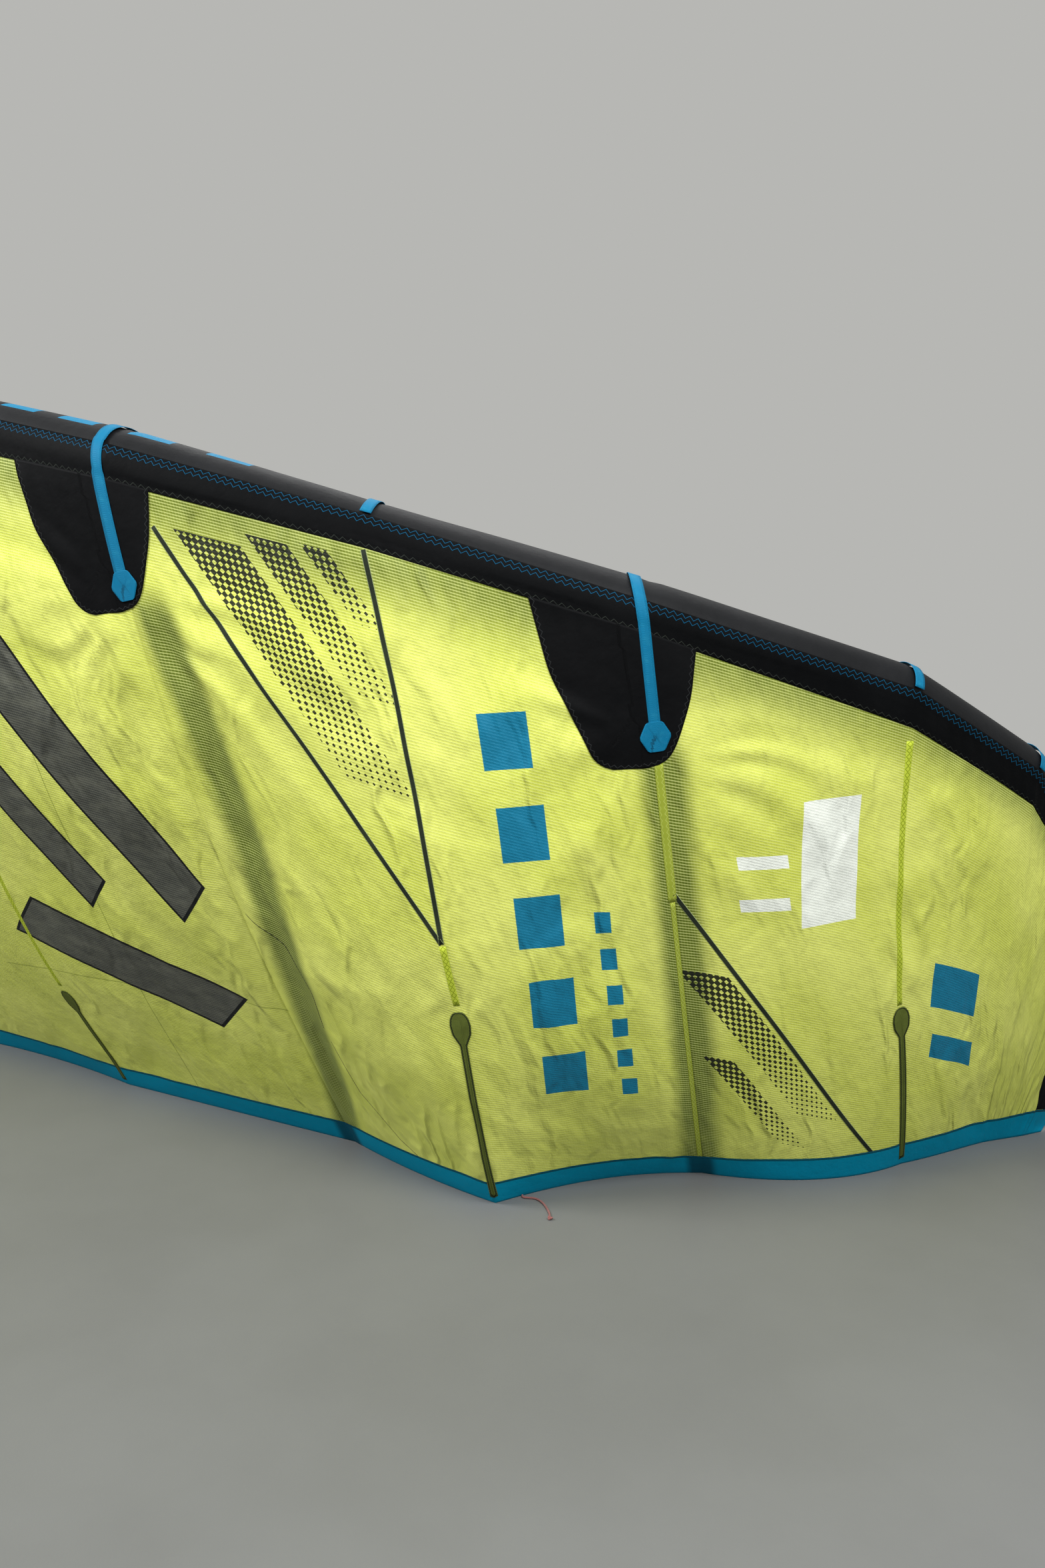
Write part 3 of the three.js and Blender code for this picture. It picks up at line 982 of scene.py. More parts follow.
@dataclass(frozen=True)
class Bar:
    """A printed slanted block, given by its middle on the flat cloth.

    along and down are metres from the middle of the kite and from the tube. turn leans the long side
    from straight down, and skew leans the short ends, in degrees.
    """

    along: float
    down: float
    width: float
    length: float
    turn: float = 0.0
    skew: float = 0.0

    def normals(self) -> tuple[Pair, Pair]:
        """Directions across the long sides and across the short ends."""
        turn, skew = math.radians(self.turn), math.radians(self.turn + self.skew)
        return (math.cos(turn), -math.sin(turn)), (math.sin(skew), math.cos(skew))

    def offset(self, graph: Graph, places: Socket, index: int) -> Value:
        """Distance from the middle line, across the long sides (0) or across the ends (1)."""
        normal = self.normals()[index]
        return graph.distance(places, normal, normal[0] * self.along + normal[1] * self.down)

    def outside(self, graph: Graph, places: Socket) -> Value:
        """Distance out of the block in metres, below zero inside."""
        sides = abs(self.offset(graph, places, 0)) - self.width / 2
        return sides.most(abs(self.offset(graph, places, 1)) - self.length / 2)

    @staticmethod
    def nearest(graph: Graph, places: Socket, bars: Sequence["Bar"]) -> Value:
        """Distance out of the nearest of several blocks.

        Args:
            graph: the material's graph.
            places: where it is read.
            bars: the blocks.

        Returns:
            The distance in metres, below zero inside one of them.
        """
        distance = bars[0].outside(graph, places)
        for bar in bars[1:]:
            distance = distance.least(bar.outside(graph, places))
        return distance


@dataclass(frozen=True)
class Artwork:
    """The plain printed blocks of the canopy, by colour, and the faint seams inside it."""

    grey: tuple[Bar, ...]
    blue: tuple[Bar, ...]
    white: tuple[Bar, ...]
    dotted: tuple[Bar, ...]
    black: tuple[Bar, ...]
    seams: tuple[Bar, ...]


@dataclass(frozen=True)
class Ripstop:
    """Thin ripstop canopy cloth with its prints."""

    name: str
    artwork: Artwork
    light: Colour = (0.72, 0.765, 0.15)
    deep: Colour = (0.59, 0.65, 0.08)
    shade: Colour = (0.105, 0.145, 0.008)
    fold_shade: Colour = (0.27, 0.33, 0.02)
    rib_light: Colour = (0.82, 0.88, 0.32)
    soil: Colour = (0.25, 0.26, 0.08)
    seam: Colour = (0.20, 0.25, 0.02)
    grey: Colour = (0.052, 0.055, 0.05)
    grey_worn: Colour = (0.115, 0.118, 0.095)
    grey_rib: Colour = (0.155, 0.16, 0.125)
    outline: Colour = (0.004, 0.005, 0.006)
    blue: Colour = (0.0, 0.175, 0.31)
    white: Colour = (0.88, 0.92, 0.84)
    black: Colour = (0.008, 0.01, 0.01)
    dot: Colour = (0.006, 0.008, 0.007)
    rib: float = 0.0066
    dot_pitch: float = 0.0145
    crease_depth: float = 0.012
    crumple_depth: float = 0.0032
    rib_depth: float = 0.0003

    def dots(self, graph: Graph, places: Socket, bar: Bar) -> Value:
        """Small squares on their corners that shrink along a block.

        Args:
            graph: the material's graph.
            places: where they are read.
            bar: the block.

        Returns:
            1 on a square.
        """
        parts = graph.node("ShaderNodeSeparateXYZ", None, {0: places}).outputs
        u, v = (abs((Value(graph, part) / self.dot_pitch).fraction() - 0.5) for part in parts[:2])
        size = (bar.offset(graph, places, 1) / bar.length + 0.5) * -0.4 + 0.64
        return (u + v).below(size) * bar.outside(graph, places).below(0.0)

    @staticmethod
    def creases(graph: Graph, places: Socket) -> Value:
        """Sharp creases with soft sides in three directions, patchy over the cloth.

        Args:
            graph: the material's graph.
            places: where they are read.

        Returns:
            A height from about 0 to 1.
        """
        stir = graph.node("ShaderNodeTexNoise", None, {"Vector": places, "Scale": 6.0, "Detail": 2.0})
        stirred = {0: stir.outputs[1], 1: (0.12, 0.12, 0.0), 2: places}
        bent = graph.node("ShaderNodeVectorMath", {"operation": "MULTIPLY_ADD"}, stirred).outputs[0]
        height = graph.noise(bent, 9, 3) * 0.4
        for turn, seed, weight in ((0.5, 0.0, 0.45), (-0.7, 7.0, 0.4), (1.45, 13.0, 0.25)):
            turned = graph.node("ShaderNodeMapping", None, {
                "Vector": bent,
                "Location": (seed, seed, 0.0),
                "Rotation": (0.0, 0.0, turn),
                "Scale": (11.0, 2.6, 1.0),
            }).outputs[0]
            ridge = abs(graph.noise(turned, 1.0, 1) - 0.5).rise(0.16, 0.0)
            patchy = graph.noise(graph.scaled(turned, 0.16, 0.5), 1.0, 1).rise(0.42, 0.62)
            height = height + ridge * patchy * weight
        return height

    @staticmethod
    def behind(graph: Graph, s: Value, d: Value, raw: Socket) -> Value:
        """Painted shade of the tube and the struts behind the thin cloth.

        Args:
            graph: the material's graph.
            s: metres from the middle of the kite, without sign.
            d: metres down the cloth.
            raw: the cloth map.

        Returns:
            The share of shade from 0 to 1.
        """
        wavy = graph.noise(raw, 5, 2) * 0.03 - 0.015
        # painted shade: the tube above and the struts beside show through the thin cloth as darker bands
        painted_shade = (d + wavy).rise(0.2, 0.03) * 0.85
        started = d.rise(0.2, 0.3)
        for hollow in HOLLOWS:
            middle = hollow.shift(d) + float(SKIN.along[hollow.station])
            near = abs(s + wavy * 0.5 - middle) / hollow.reach
            painted_shade = painted_shade.most(near.rise(1.3, 0.4) * (started * hollow.dark))
        streaks = graph.noise(graph.scaled(raw, 9, 2.2), 4, 2)
        return (painted_shade * (streaks * 0.4 + 0.88)).least(1.0)

    def printed(self, graph: Graph, colour: Socket, places: Socket, raw: Socket, ribs: Value) -> Socket:
        """The cloth's colour with its seams and prints.

        Args:
            graph: the material's graph.
            colour: the colour of the bare cloth.
            places: the cloth map without its sign.
            raw: the cloth map.
            ribs: share of the light ribs and threads on dark prints.

        Returns:
            The colour.
        """
        art = self.artwork
        seam = Bar.nearest(graph, places, art.seams).rise(0.001, -0.001)
        colour = graph.blend(seam * 0.6, colour, self.seam)
        out = Bar.nearest(graph, places, art.grey)
        worn = graph.noise(graph.scaled(raw, 1, 2), 14, 4, 0.6).rise(0.35, 0.75)
        cloth = graph.blend(worn, self.grey, self.grey_worn)
        cloth = graph.blend(ribs, cloth, self.grey_rib)
        colour = graph.blend(out.rise(0.0005, -0.0005), colour, cloth)
        colour = graph.blend(abs(out).rise(0.0045, 0.0035), colour, self.outline)
        rough = graph.noise(raw, 160, 2) * 0.0016
        for bars, paint in ((art.blue, self.blue), (art.white, self.white), (art.black, self.black)):
            out = Bar.nearest(graph, places, bars) + rough
            colour = graph.blend(out.rise(0.0012, 0.0002) * 0.99, colour, paint)
        for bar in art.dotted:
            colour = graph.blend(self.dots(graph, places, bar) * 0.97, colour, self.dot)
        return colour

    def material(self) -> bpy.types.Material:
        """Builds the finish.

        Returns:
            The material.
        """
        graph = Graph(self.name)
        s, d, raw = graph.map()
        places = graph.node("ShaderNodeCombineXYZ", None, {0: abs(s), 1: d}).outputs[0]
        ribs, threads = graph.lines(d, self.rib, 0.55), graph.lines(s, self.rib, 0.3)
        colour = graph.blend(graph.noise(raw, 3.5, 3).rise(0.3, 0.7), self.light, self.deep)
        # painted shade of the tube and the struts behind the cloth
        colour = graph.blend(self.behind(graph, abs(s), d, raw), colour, self.shade)
        # darker olive patches painted as shade in the folds
        folds = graph.noise(graph.scaled(raw, 1.6, 0.8), 9, 4, 0.6).rise(0.55, 0.75)
        colour = graph.blend(folds * 0.22, colour, self.fold_shade)
        colour = graph.blend(ribs * 0.4 + threads * 0.12, colour, self.rib_light)
        dirt = graph.noise(raw, 22, 4, 0.65).rise(0.58, 0.85) * 0.1
        colour = graph.blend(dirt, colour, self.soil)
        colour = self.printed(graph, colour, places, raw, ribs * 0.5 + threads * 0.2)
        crumple = graph.noise(graph.scaled(raw, 1, 0.6), 34, 4, 0.62)
        normal = graph.bump(self.creases(graph, raw), self.crease_depth)
        normal = graph.bump(crumple, self.crumple_depth, normal)
        normal = graph.bump(ribs.most(threads * 0.6), self.rib_depth, normal)
        roughness = graph.noise(raw, 60, 3) * 0.16 + 0.4
        return graph.finish(colour, roughness, normal, Specular_IOR_Level=0.2)


@dataclass(frozen=True)
class Woven:
    """Stout plain cloth with rows of zigzag stitches along its edges.

    rows holds places from the first edge, low_rows places from the last edge, both in metres. lap is
    the width of an edge in lap_colour, and behind is the colour of the painted shade over the struts
    that stand behind the cloth.
    """

    name: str
    dark: Colour
    worn: Colour
    thread: Colour
    rows: tuple[float, ...] = ()
    low_rows: tuple[float, ...] = ()
    low_thread: Colour = (0.03, 0.032, 0.035)
    grain: float = 0.0009
    rough: float = 0.48
    lap: float = 0.0
    lap_colour: Colour = (0.0, 0.0, 0.0)
    bars: tuple[Bar, ...] = ()
    bar_colour: Colour = (0.002, 0.17, 0.32)
    stitch: Stitch = Stitch()
    wear: float = 0.3
    shine: float = 0.05
    behind: Colour | None = None

    def marked(self, graph: Graph, colour: Socket, u: Value, v: Value) -> Socket:
        """The colour with the lapped edge, the painted shade of the struts behind it and the printed bars.

        Args:
            graph: the material's graph.
            colour: the colour of the bare cloth.
            u: metres along the cloth.
            v: metres across it.

        Returns:
            The colour.
        """
        if self.lap:
            colour = graph.blend(v.rise(self.lap + SOFT_EDGE, self.lap - SOFT_EDGE), colour,
                                 self.lap_colour)
        # painted shade of the strut ends seen through the band
        if self.behind:
            for station in STRUT_STATIONS:
                near = abs(abs(u) - float(SKIN.along[station])).rise(0.05, 0.022)
                colour = graph.blend(near * 0.8, colour, self.behind)
        if self.bars:
            places = graph.node("ShaderNodeCombineXYZ", None, {0: abs(u), 1: v}).outputs[0]
            for bar in self.bars:
                mask = bar.outside(graph, places).rise(SOFT_EDGE, -SOFT_EDGE)
                colour = graph.blend(mask, colour, self.bar_colour)
        return colour

    def material(self) -> bpy.types.Material:
        """Builds the finish.

        Returns:
            The material.
        """
        graph = Graph(self.name)
        u, v, raw = graph.map()
        cloudy = graph.noise(raw, 7, 4, 0.6)
        colour = graph.blend(cloudy.rise(0.35, 0.8) * self.wear, self.dark, self.worn)
        scuffs = graph.noise(graph.scaled(raw, 1, 5), 45, 4, 0.7).rise(0.6, 0.8)
        colour = graph.blend(scuffs * 0.25 * self.wear, colour, self.worn)
        weave = graph.lines(u, self.grain, 0.9).most(graph.lines(v, self.grain, 0.9))
        colour = graph.blend(weave * 0.18, colour, self.worn)
        colour = self.marked(graph, colour, u, v)
        height = weave * 0.3
        groups = [(self.rows, v, self.thread)]
        if self.low_rows:
            groups.append((self.low_rows, graph.map(EDGE_MAP)[1], self.low_thread))
        for rows, across, thread in groups:
            for row in rows:
                mask = graph.zigzag(u, across, row, self.stitch)
                colour = graph.blend(mask, colour, thread)
                height = height.most(mask)
        normal = graph.bump(graph.noise(raw, 28, 3, 0.55), 0.0018)
        normal = graph.bump(height, 0.0005, normal)
        return graph.finish(colour, cloudy * 0.2 + self.rough, normal, Specular_IOR_Level=self.shine)


@dataclass(frozen=True)
class Webbing:
    """Ribbed flat webbing. u runs across it and v along it."""

    name: str
    main: Colour = (0.0, 0.20, 0.385)
    dark: Colour = (0.0, 0.11, 0.22)
    worn: Colour = (0.03, 0.33, 0.47)
    rib: float = 0.0022
    cord: float = 0.0031
    stitch: Stitch = Stitch(0.007, 0.003, 0.0008)
    stitch_row: float = 0.0035

    def material(self) -> bpy.types.Material:
        """Builds the finish.

        Returns:
            The material.
        """
        graph = Graph(self.name)
        u, v, raw = graph.map()
        slant = v + abs((u / 0.0125).fraction() - 0.5) * 0.004
        ribs = graph.lines(slant, self.rib, 0.8)
        cords = graph.lines(u, self.cord, 0.5)
        cloudy = graph.noise(raw, 40, 3, 0.6)
        colour = graph.blend(ribs * 0.35 + cords * 0.15, self.main, self.dark)
        colour = graph.blend(cloudy.rise(0.5, 0.8) * 0.3, colour, self.worn)
        thread = graph.zigzag(v, graph.map(EDGE_MAP)[0], self.stitch_row, self.stitch)
        colour = graph.blend(thread * 0.7, colour, self.dark)
        normal = graph.bump(ribs.most(thread), 0.0006)
        return graph.finish(colour, cloudy * 0.2 + 0.5, normal, Specular_IOR_Level=0.18)


@dataclass(frozen=True)
class Braid:
    """Braided cord, by the piece's own map of metres."""

    name: str
    main: Colour = (0.25, 0.045, 0.042)
    pale: Colour = (0.40, 0.18, 0.16)
    strand: float = 0.0026

    def material(self) -> bpy.types.Material:
        """Builds the finish.

        Returns:
            The material.
        """
        graph = Graph(self.name)
        u, v, raw = graph.map()
        twist = graph.lines(u + v, self.strand, 0.7) + graph.lines(u - v, self.strand, 0.7)
        colour = graph.blend(twist * 0.4, self.main, self.pale)
        worn = graph.noise(raw, 220, 3)
        colour = graph.blend(worn.rise(0.5, 0.8) * 0.4, colour, self.pale)
        return graph.finish(colour, worn * 0.2 + 0.6, graph.bump(twist * 0.5, 0.0007), Sheen_Weight=0.2)


@dataclass(frozen=True)
class Plain:
    """A matt studio surface with a faint mottle."""

    name: str
    colour: Colour
    mottle: Colour
    rough: float

    def material(self) -> bpy.types.Material:
        """Builds the finish.

        Returns:
            The material.
        """
        graph = Graph(self.name)
        places = graph.node("ShaderNodeTexCoord").outputs["Object"]
        cloudy = graph.noise(places, 1.3, 5, 0.6)
        fine = graph.noise(places, 240, 2)
        colour = graph.blend(cloudy.rise(0.3, 0.7), self.colour, self.mottle)
        roughness = cloudy * 0.15 + self.rough
        return graph.finish(colour, roughness, graph.bump(fine, 0.0002), Specular_IOR_Level=0.3)


# Pieces


class Slot(Enum):
    """Material slots of the record."""

    CANOPY = "canopy_cloth"
    BLACK = "black_cloth"
    TUBE = "tube_cloth"
    EDGE = "edge_cloth"
    WEBBING = "webbing"
    BATTEN = "batten_cloth"
    CORD = "cord"


class Half(Enum):
    """The two wing halves, each with the side that it lies on."""

    LEFT = -1
    RIGHT = 1

    @property
    def word(self) -> str:
        """The half's name in the solids."""
        return self.name.lower()


def fitted(piece: bpy.types.Object, finish: bpy.types.Material, slot: Slot,
           nodes: Iterable[str] = ()) -> bpy.types.Object:
    """Dresses a piece and puts it on the frame.

    Args:
        piece: the piece.
        finish: its material.
        slot: the record's slot for it; not used.
        nodes: the solids that it stands for.

    Returns:
        The piece.
    """
    piece.data.materials.append(finish)
    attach(piece, "root")
    names = list(nodes)
    if names:
        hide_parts(*names)
    LOG.info("%s: %d faces, stands for %s", piece.name, len(piece.data.polygons),
             ", ".join(names) or "nothing")
    return piece


def cut_size(grid: Array) -> tuple[Pair, float]:
    """The flat size and area that a grid of points has.

    Args:
        grid: rows by columns by three.

    Returns:
        Its longest width and length, and its area, in metres.
    """
    width = np.linalg.norm(np.diff(grid, axis=1), axis=2).sum(axis=1).max()
    length = np.linalg.norm(np.diff(grid, axis=0), axis=2).sum(axis=0).max()
    a, b = grid[1:, 1:] - grid[:-1, :-1], grid[1:, :-1] - grid[:-1, 1:]
    area = float(np.linalg.norm(np.cross(a, b), axis=2).sum() / 2)
    return (float(width), float(length)), area


def declared(grid: Array, rests_on: Iterable[str]) -> None:
    """Works out the real flat size and area of a piece of sheet cloth, but keeps neither.

    Args:
        grid: its outer face, rows by columns by three.
        rests_on: what it is sewn to.
    """
    flat, area = cut_size(grid)
    flat = (max(flat[0], 0.0101), max(flat[1], 0.0101))
    area = min(max(area, 0.301 * flat[0] * flat[1]), flat[0] * flat[1])
    list(rests_on)


def on_cloth(x: Array, t: Array, layer: Layer) -> tuple[Array, Array]:
    """Outer and inner points of a sheet on the cloth.

    Args:
        x: rows by columns of stations.
        t: the same of shares down.
        layer: the sheet's heights.

    Returns:
        Two grids of points.
    """
    place = lambda height: SKIN.cloth(x.ravel(), t.ravel(), height).reshape(*x.shape, 3)
    return place(layer.outer), place(layer.inner)


@dataclass(frozen=True)
class NoseTube:
    """The inflated leading-edge tube, one length from tip to tip."""

    sides: int = 48
    rings_per_station: int = 22
    end_length: float = 0.024
    seam_dip: float = 0.0022

    def build(self, finish: bpy.types.Material) -> bpy.types.Object:
        """Makes the tube with a slight waist and puckers at every sewn joint."""
        x = np.linspace(-TIP, TIP, 2 * TIP * self.rings_per_station + 1)
        slides = np.zeros(len(x))
        shares = np.ones(len(x))
        for turn in np.radians([20, 40, 60, 75, 87]):
            x = np.concatenate([[-TIP], x, [TIP]])
            slide = self.end_length * math.sin(turn)
            slides = np.concatenate([[slide], slides, [slide]])
            shares = np.concatenate([[math.cos(turn)], shares, [math.cos(turn)]])
        angles = np.linspace(0, 360, self.sides, endpoint=False)
        place, turns = (grid.ravel() for grid in np.meshgrid(x, angles, indexing="ij"))
        share, slide = np.repeat(shares, self.sides), np.repeat(slides, self.sides)
        s = SKIN.value("along", place) * np.sign(place)
        radius = SKIN.value("radius", place)
        dip = np.zeros(len(place))
        for joint in SKIN.along[1:-1]:
            away = np.abs(np.abs(s) - joint)
            phase = np.radians(turns) * 26 + 3 * SKIN.noises[1].at(turns / 30 + joint * 9, s * 7 + 50)
            pucker = 0.5 + 0.5 * np.cos(phase)
            dip = dip + self.seam_dip * np.exp(-((away / 0.012) ** 2))
            dip = dip + 0.0011 * pucker * np.exp(-away / 0.045)
        dip = dip + 0.0012 * (SKIN.noises[0].at(s / 0.2 + 60, turns / 40) + 1)
        points = SKIN.tube(place, turns, share * (radius - dip) - radius, slide)
        maps = np.stack([s, np.radians(turns) * radius], axis=1)
        shape = (len(x), self.sides)
        tube = lofted("nose_tube", points.reshape(*shape, 3), maps.reshape(*shape, 2))
        nodes = [f"nose_tube_{half.word}_{n}" for half in Half for n in range(1, TIP + 1)]
        fitted(tube, finish, Slot.TUBE, nodes)
        return tube


@dataclass(frozen=True)
class Panel:
    """One panel of the canopy, between two stations."""

    name: str
    start: float
    end: float
    spacing: float = 0.0115
    overlap: float = 0.008

    def build(self, half: Half, finish: bpy.types.Material, slot: Slot) -> bpy.types.Object:
        """Makes the panel with its wrinkles.

        Args:
            half: the wing half.
            finish: the panel's material.
            slot: the record's slot.

        Returns:
            The piece.
        """
        span = float(np.interp(self.end, range(TIP + 1), SKIN.along) - np.interp(self.start, range(TIP + 1),
                                                                                 SKIN.along))
        columns = max(int(span / self.spacing), 6)
        rows = int(SKIN.value("length", np.array([self.start]))[0] / self.spacing)
        line = np.linspace(self.start, self.end, columns + 1)
        line = line if half is Half.RIGHT else -line[::-1]
        share = np.linspace(0, 1, rows + 1)[:, None]
        length = SKIN.value("length", line)
        first = np.maximum(SKIN.value("lap", line) - self.overlap, 0.001) / length
        last = 1 - (EDGE_BAND_HEIGHT - self.overlap / 2) / length
        t = first * (1 - share) + last * share
        x = np.broadcast_to(line, t.shape)
        outer, inner = on_cloth(x, t, Layers.CANOPY.value)
        s, d = SKIN.flat(x.ravel(), t.ravel())
        maps = {CLOTH_MAP: np.stack([s, d], axis=1).reshape(*t.shape, 2)}
        panel = closed_sheet(f"{self.name}_{half.word}", outer, inner, maps)
        fitted(panel, finish, slot, [f"{self.name}_{half.word}"])
        declared(outer, ["nose_tube", f"edge_band_{half.word}"])
        return panel


@dataclass(frozen=True)
class NoseStrip:
    """The black strip that joins the canopy to the tube."""

    columns_per_station: int = 60
    tube_rows: int = 9
    cloth_rows: int = 7

    def build(self, half: Half, finish: bpy.types.Material) -> bpy.types.Object:
        """Makes the strip, sewn round the tube and lapped over the canopy."""
        line = np.linspace(0, TIP, TIP * self.columns_per_station + 1)
        line = line if half is Half.RIGHT else -line[::-1]
        seam, leave = SKIN.value("seam", line), SKIN.value("leave", line)
        radius, lap, length = (SKIN.value(name, line) for name in ("radius", "lap", "length"))
        layer = Layers.STRIP.value
        grids = {height: [] for height in (layer.outer, layer.inner)}
        v_rows = []
        for share in np.linspace(0, 1, self.tube_rows, endpoint=False):
            degrees = seam * (1 - share) + leave * share
            for height, rows in grids.items():
                rows.append(SKIN.tube(line, degrees, height))
            v_rows.append(np.radians(seam - degrees) * radius)
        round_length = np.radians(seam - leave) * radius
        for share in np.linspace(0, 1, self.cloth_rows):
            t = np.maximum(share * lap / length, 1e-6)
            for height, rows in grids.items():
                rows.append(SKIN.cloth(line, t, height))
            v_rows.append(round_length + share * lap)
        outer, inner = (np.stack(rows) for rows in grids.values())
        v = np.stack(v_rows)
        s = np.broadcast_to(SKIN.value("along", line) * np.sign(line), v.shape)
        maps = {CLOTH_MAP: np.stack([s, v], axis=-1), EDGE_MAP: np.stack([s, v[-1] - v], axis=-1)}
        strip = closed_sheet(f"nose_strip_{half.word}", outer, inner, maps)
        fitted(strip, finish, Slot.BLACK, [f"nose_strip_{half.word}"])
        declared(outer, ["nose_tube"])
        return strip


@dataclass(frozen=True)
class EdgeBand:
    """The blue band sewn over the trailing edge, which stands on the floor."""

    columns_per_station: int = 60
    rows: int = 10
    overlap: float = 0.006

    def build(self, half: Half, finish: bpy.types.Material) -> bpy.types.Object:
        """Makes the band."""
        line = np.linspace(0, TIP, TIP * self.columns_per_station + 1)
        line = line if half is Half.RIGHT else -line[::-1]
        height = EDGE_BAND_HEIGHT + self.overlap
        share = np.linspace(0, 1, self.rows + 1)[:, None]
        t = 1 - (1 - share) * height / SKIN.value("length", line)
        x = np.broadcast_to(line, t.shape)
        outer, inner = on_cloth(x, t, Layers.STRIP.value)
        s = np.broadcast_to(SKIN.value("along", line) * np.sign(line), t.shape)
        v = np.broadcast_to(share * height, t.shape)
        band = closed_sheet(f"edge_band_{half.word}", outer, inner, {CLOTH_MAP: np.stack([s, v], axis=-1)})
        fitted(band, finish, Slot.EDGE, [f"edge_band_{half.word}"])
        declared(outer, [f"canopy_{part}_{half.word}" for part in ("inner", "middle", "outer")])
        return band


@dataclass(frozen=True)
class TipPatch:
    """The black patch over the wing tip, widest near the foot.

    Its edge gives a station for each share down.
    """

    edge: tuple[Pair, ...] = ((0.0, 7.45), (0.25, 7.28), (0.5, 7.02), (0.68, 6.88), (0.81, 6.88),
                              (0.89, 6.93),
                              (0.96, 7.03), (1.0, 7.1))
    last: float = 7.985
    rows: int = 36
    columns: int = 36
    gap: float = 0.0012

    def build(self, half: Half, finish: bpy.types.Material) -> None:
        """Makes the patch, between the strip and the edge band."""
        share = np.linspace(0, 1, self.rows + 1)[:, None]
        start = np.interp(share, *np.array(self.edge).T)
        x = start + (self.last - start) * np.linspace(0, 1, self.columns + 1)[None, :]
        length = SKIN.value("length", x)
        top = (SKIN.value("lap", x) + self.gap) / length
        foot = 1 - (EDGE_BAND_HEIGHT + EdgeBand.overlap + self.gap) / length
        t = top + (foot - top) * share
        s, d = (grid.reshape(x.shape) for grid in SKIN.flat(x.ravel(), t.ravel()))
        grids = [x * half.value, t, d, s - s[:, :1]]
        x, t, d, inward = grids if half is Half.RIGHT else [grid[:, ::-1] for grid in grids]
        outer, inner = on_cloth(x, t, Layers.TAPE.value)
        patch = closed_sheet(f"tip_patch_{half.word}", outer, inner,
                             {CLOTH_MAP: np.stack([d, inward], axis=-1)})
        fitted(patch, finish, Slot.BLACK, [])
        declared(outer, [f"canopy_outer_{half.word}", f"canopy_tip_{half.word}"])


@dataclass(frozen=True)
class Applique:
    """A flat cut piece sewn on the cloth, between a left and a right edge at each rise."""

    TUCKED = 0.004

    name: str
    rises: Array
    left: Array
    right: Array
    layer: Layer
    columns: int = 12
    to_strip: bool = False

    @classmethod
    def from_outline(cls, name: str, corners: Sequence[Pair], bend: float, layer: Layer, rows: int,
                     columns: int,
                     to_strip: bool = False) -> "Applique":
        """Takes the edges from a rounded outline of sides and rises.

        Args:
            name: the piece's name.
            corners: the outline's corners in metres.
            bend: how far from a corner its round starts.
            layer: the piece's heights.
            rows: steps up.
            columns: steps across.
            to_strip: whether the top is cut along the strip's lower edge.

        Returns:
            The applique.
        """
        line = rounded(corners, bend, 0.002)
        top, foot = int(line[:, 1].argmax()), int(line[:, 1].argmin())
        turned = np.roll(line, -foot, axis=0)
        peak = (top - foot) % len(line)
        chains = [turned[: peak + 1], np.vstack([turned[peak:], turned[:1]])[::-1]]
        rises = line[foot,
                     1] + (line[top, 1] - line[foot,
                                               1]) * (1 - np.cos(np.linspace(0.03, np.pi - 0.03, rows))) / 2
        sides = [np.interp(rises, np.maximum.accumulate(chain[:, 1]), chain[:, 0]) for chain in chains]
        return cls(name, rises, np.minimum(*sides), np.maximum(*sides), layer, columns, to_strip)

    def spread(self, rise: Array) -> Array:
        """Sides of a grid of rises, from the left edge in the first column to the right edge in the last."""
        share = np.linspace(0, 1, self.columns + 1)[None, :]
        edges = [np.interp(rise, self.rises, edge) for edge in (self.left, self.right)]
        return edges[0] * (1 - share) + edges[1] * share

    def laid(self, rise: Array, pattern: Pattern) -> tuple[Array, Array, Array]:
        """Pattern places, stations and shares of a grid of rises."""
        places = np.stack([self.spread(rise).ravel(), rise.ravel()], axis=1)
        x, t = SKIN.find(pattern, places)
        return places, x.reshape(rise.shape), t.reshape(rise.shape)

    def cut_at_strip(self, rise: Array, x: Array, t: Array) -> Array:
        """New rises of a grid whose top row lies just under the strip's lower edge.

        Args:
            rise: rises of the whole outline, from its top row down.
            x: their stations.
            t: their shares.

        Returns:
            The new rises.
        """
        over = t * SKIN.value("length", x) - SKIN.value("lap", x) + self.TUCKED
        below = np.argmax(over > 0, axis=0)
        columns = np.arange(rise.shape[1])
        low, high = over[below, columns], over[below - 1, columns]
        share = np.clip(low / (low - high), 0, 1)
        top = rise[below, columns] * (1 - share) + rise[below - 1, columns] * share
        even = np.linspace(0, 1, len(rise))[:, None]
        return top * (1 - even) + rise[-1] * even

    def build(self, pattern: Pattern, finish: bpy.types.Material, slot: Slot, nodes: Iterable[str],
              rests_on: Iterable[str]) -> bpy.types.Object:
        """Lays the piece on the cloth.

        Args:
            pattern: where the outline lies.
            finish: its material.
            slot: the record's slot.
            nodes: the solids it stands for.
            rests_on: what it is sewn on.

        Returns:
            The piece.
        """
        rise = np.repeat(self.rises[::-1, None], self.columns + 1, axis=1)
        places, x, t = self.laid(rise, pattern)
        if self.to_strip:
            rise = self.cut_at_strip(rise, x, t)
            places, x, t = self.laid(rise, pattern)
        outer, inner = on_cloth(x, t, self.layer)
        flipped = np.cross(outer[0, -1] - outer[0, 0], outer[-1, 0] - outer[0, 0])
        edge = np.vstack([np.stack([self.left, self.rises], 1),
                          np.stack([self.right, self.rises], 1)[::-1]])
        maps = {CLOTH_MAP: along_edge(places, edge).reshape(*rise.shape, 2)}
        if flipped @ pattern.outward() > 0:
            outer, inner = outer[:, ::-1], inner[:, ::-1]
            maps = {title: grid[:, ::-1] for title, grid in maps.items()}
        piece = fitted(closed_sheet(self.name, outer, inner, maps), finish, slot, nodes)
        declared(outer, rests_on)
        return piece


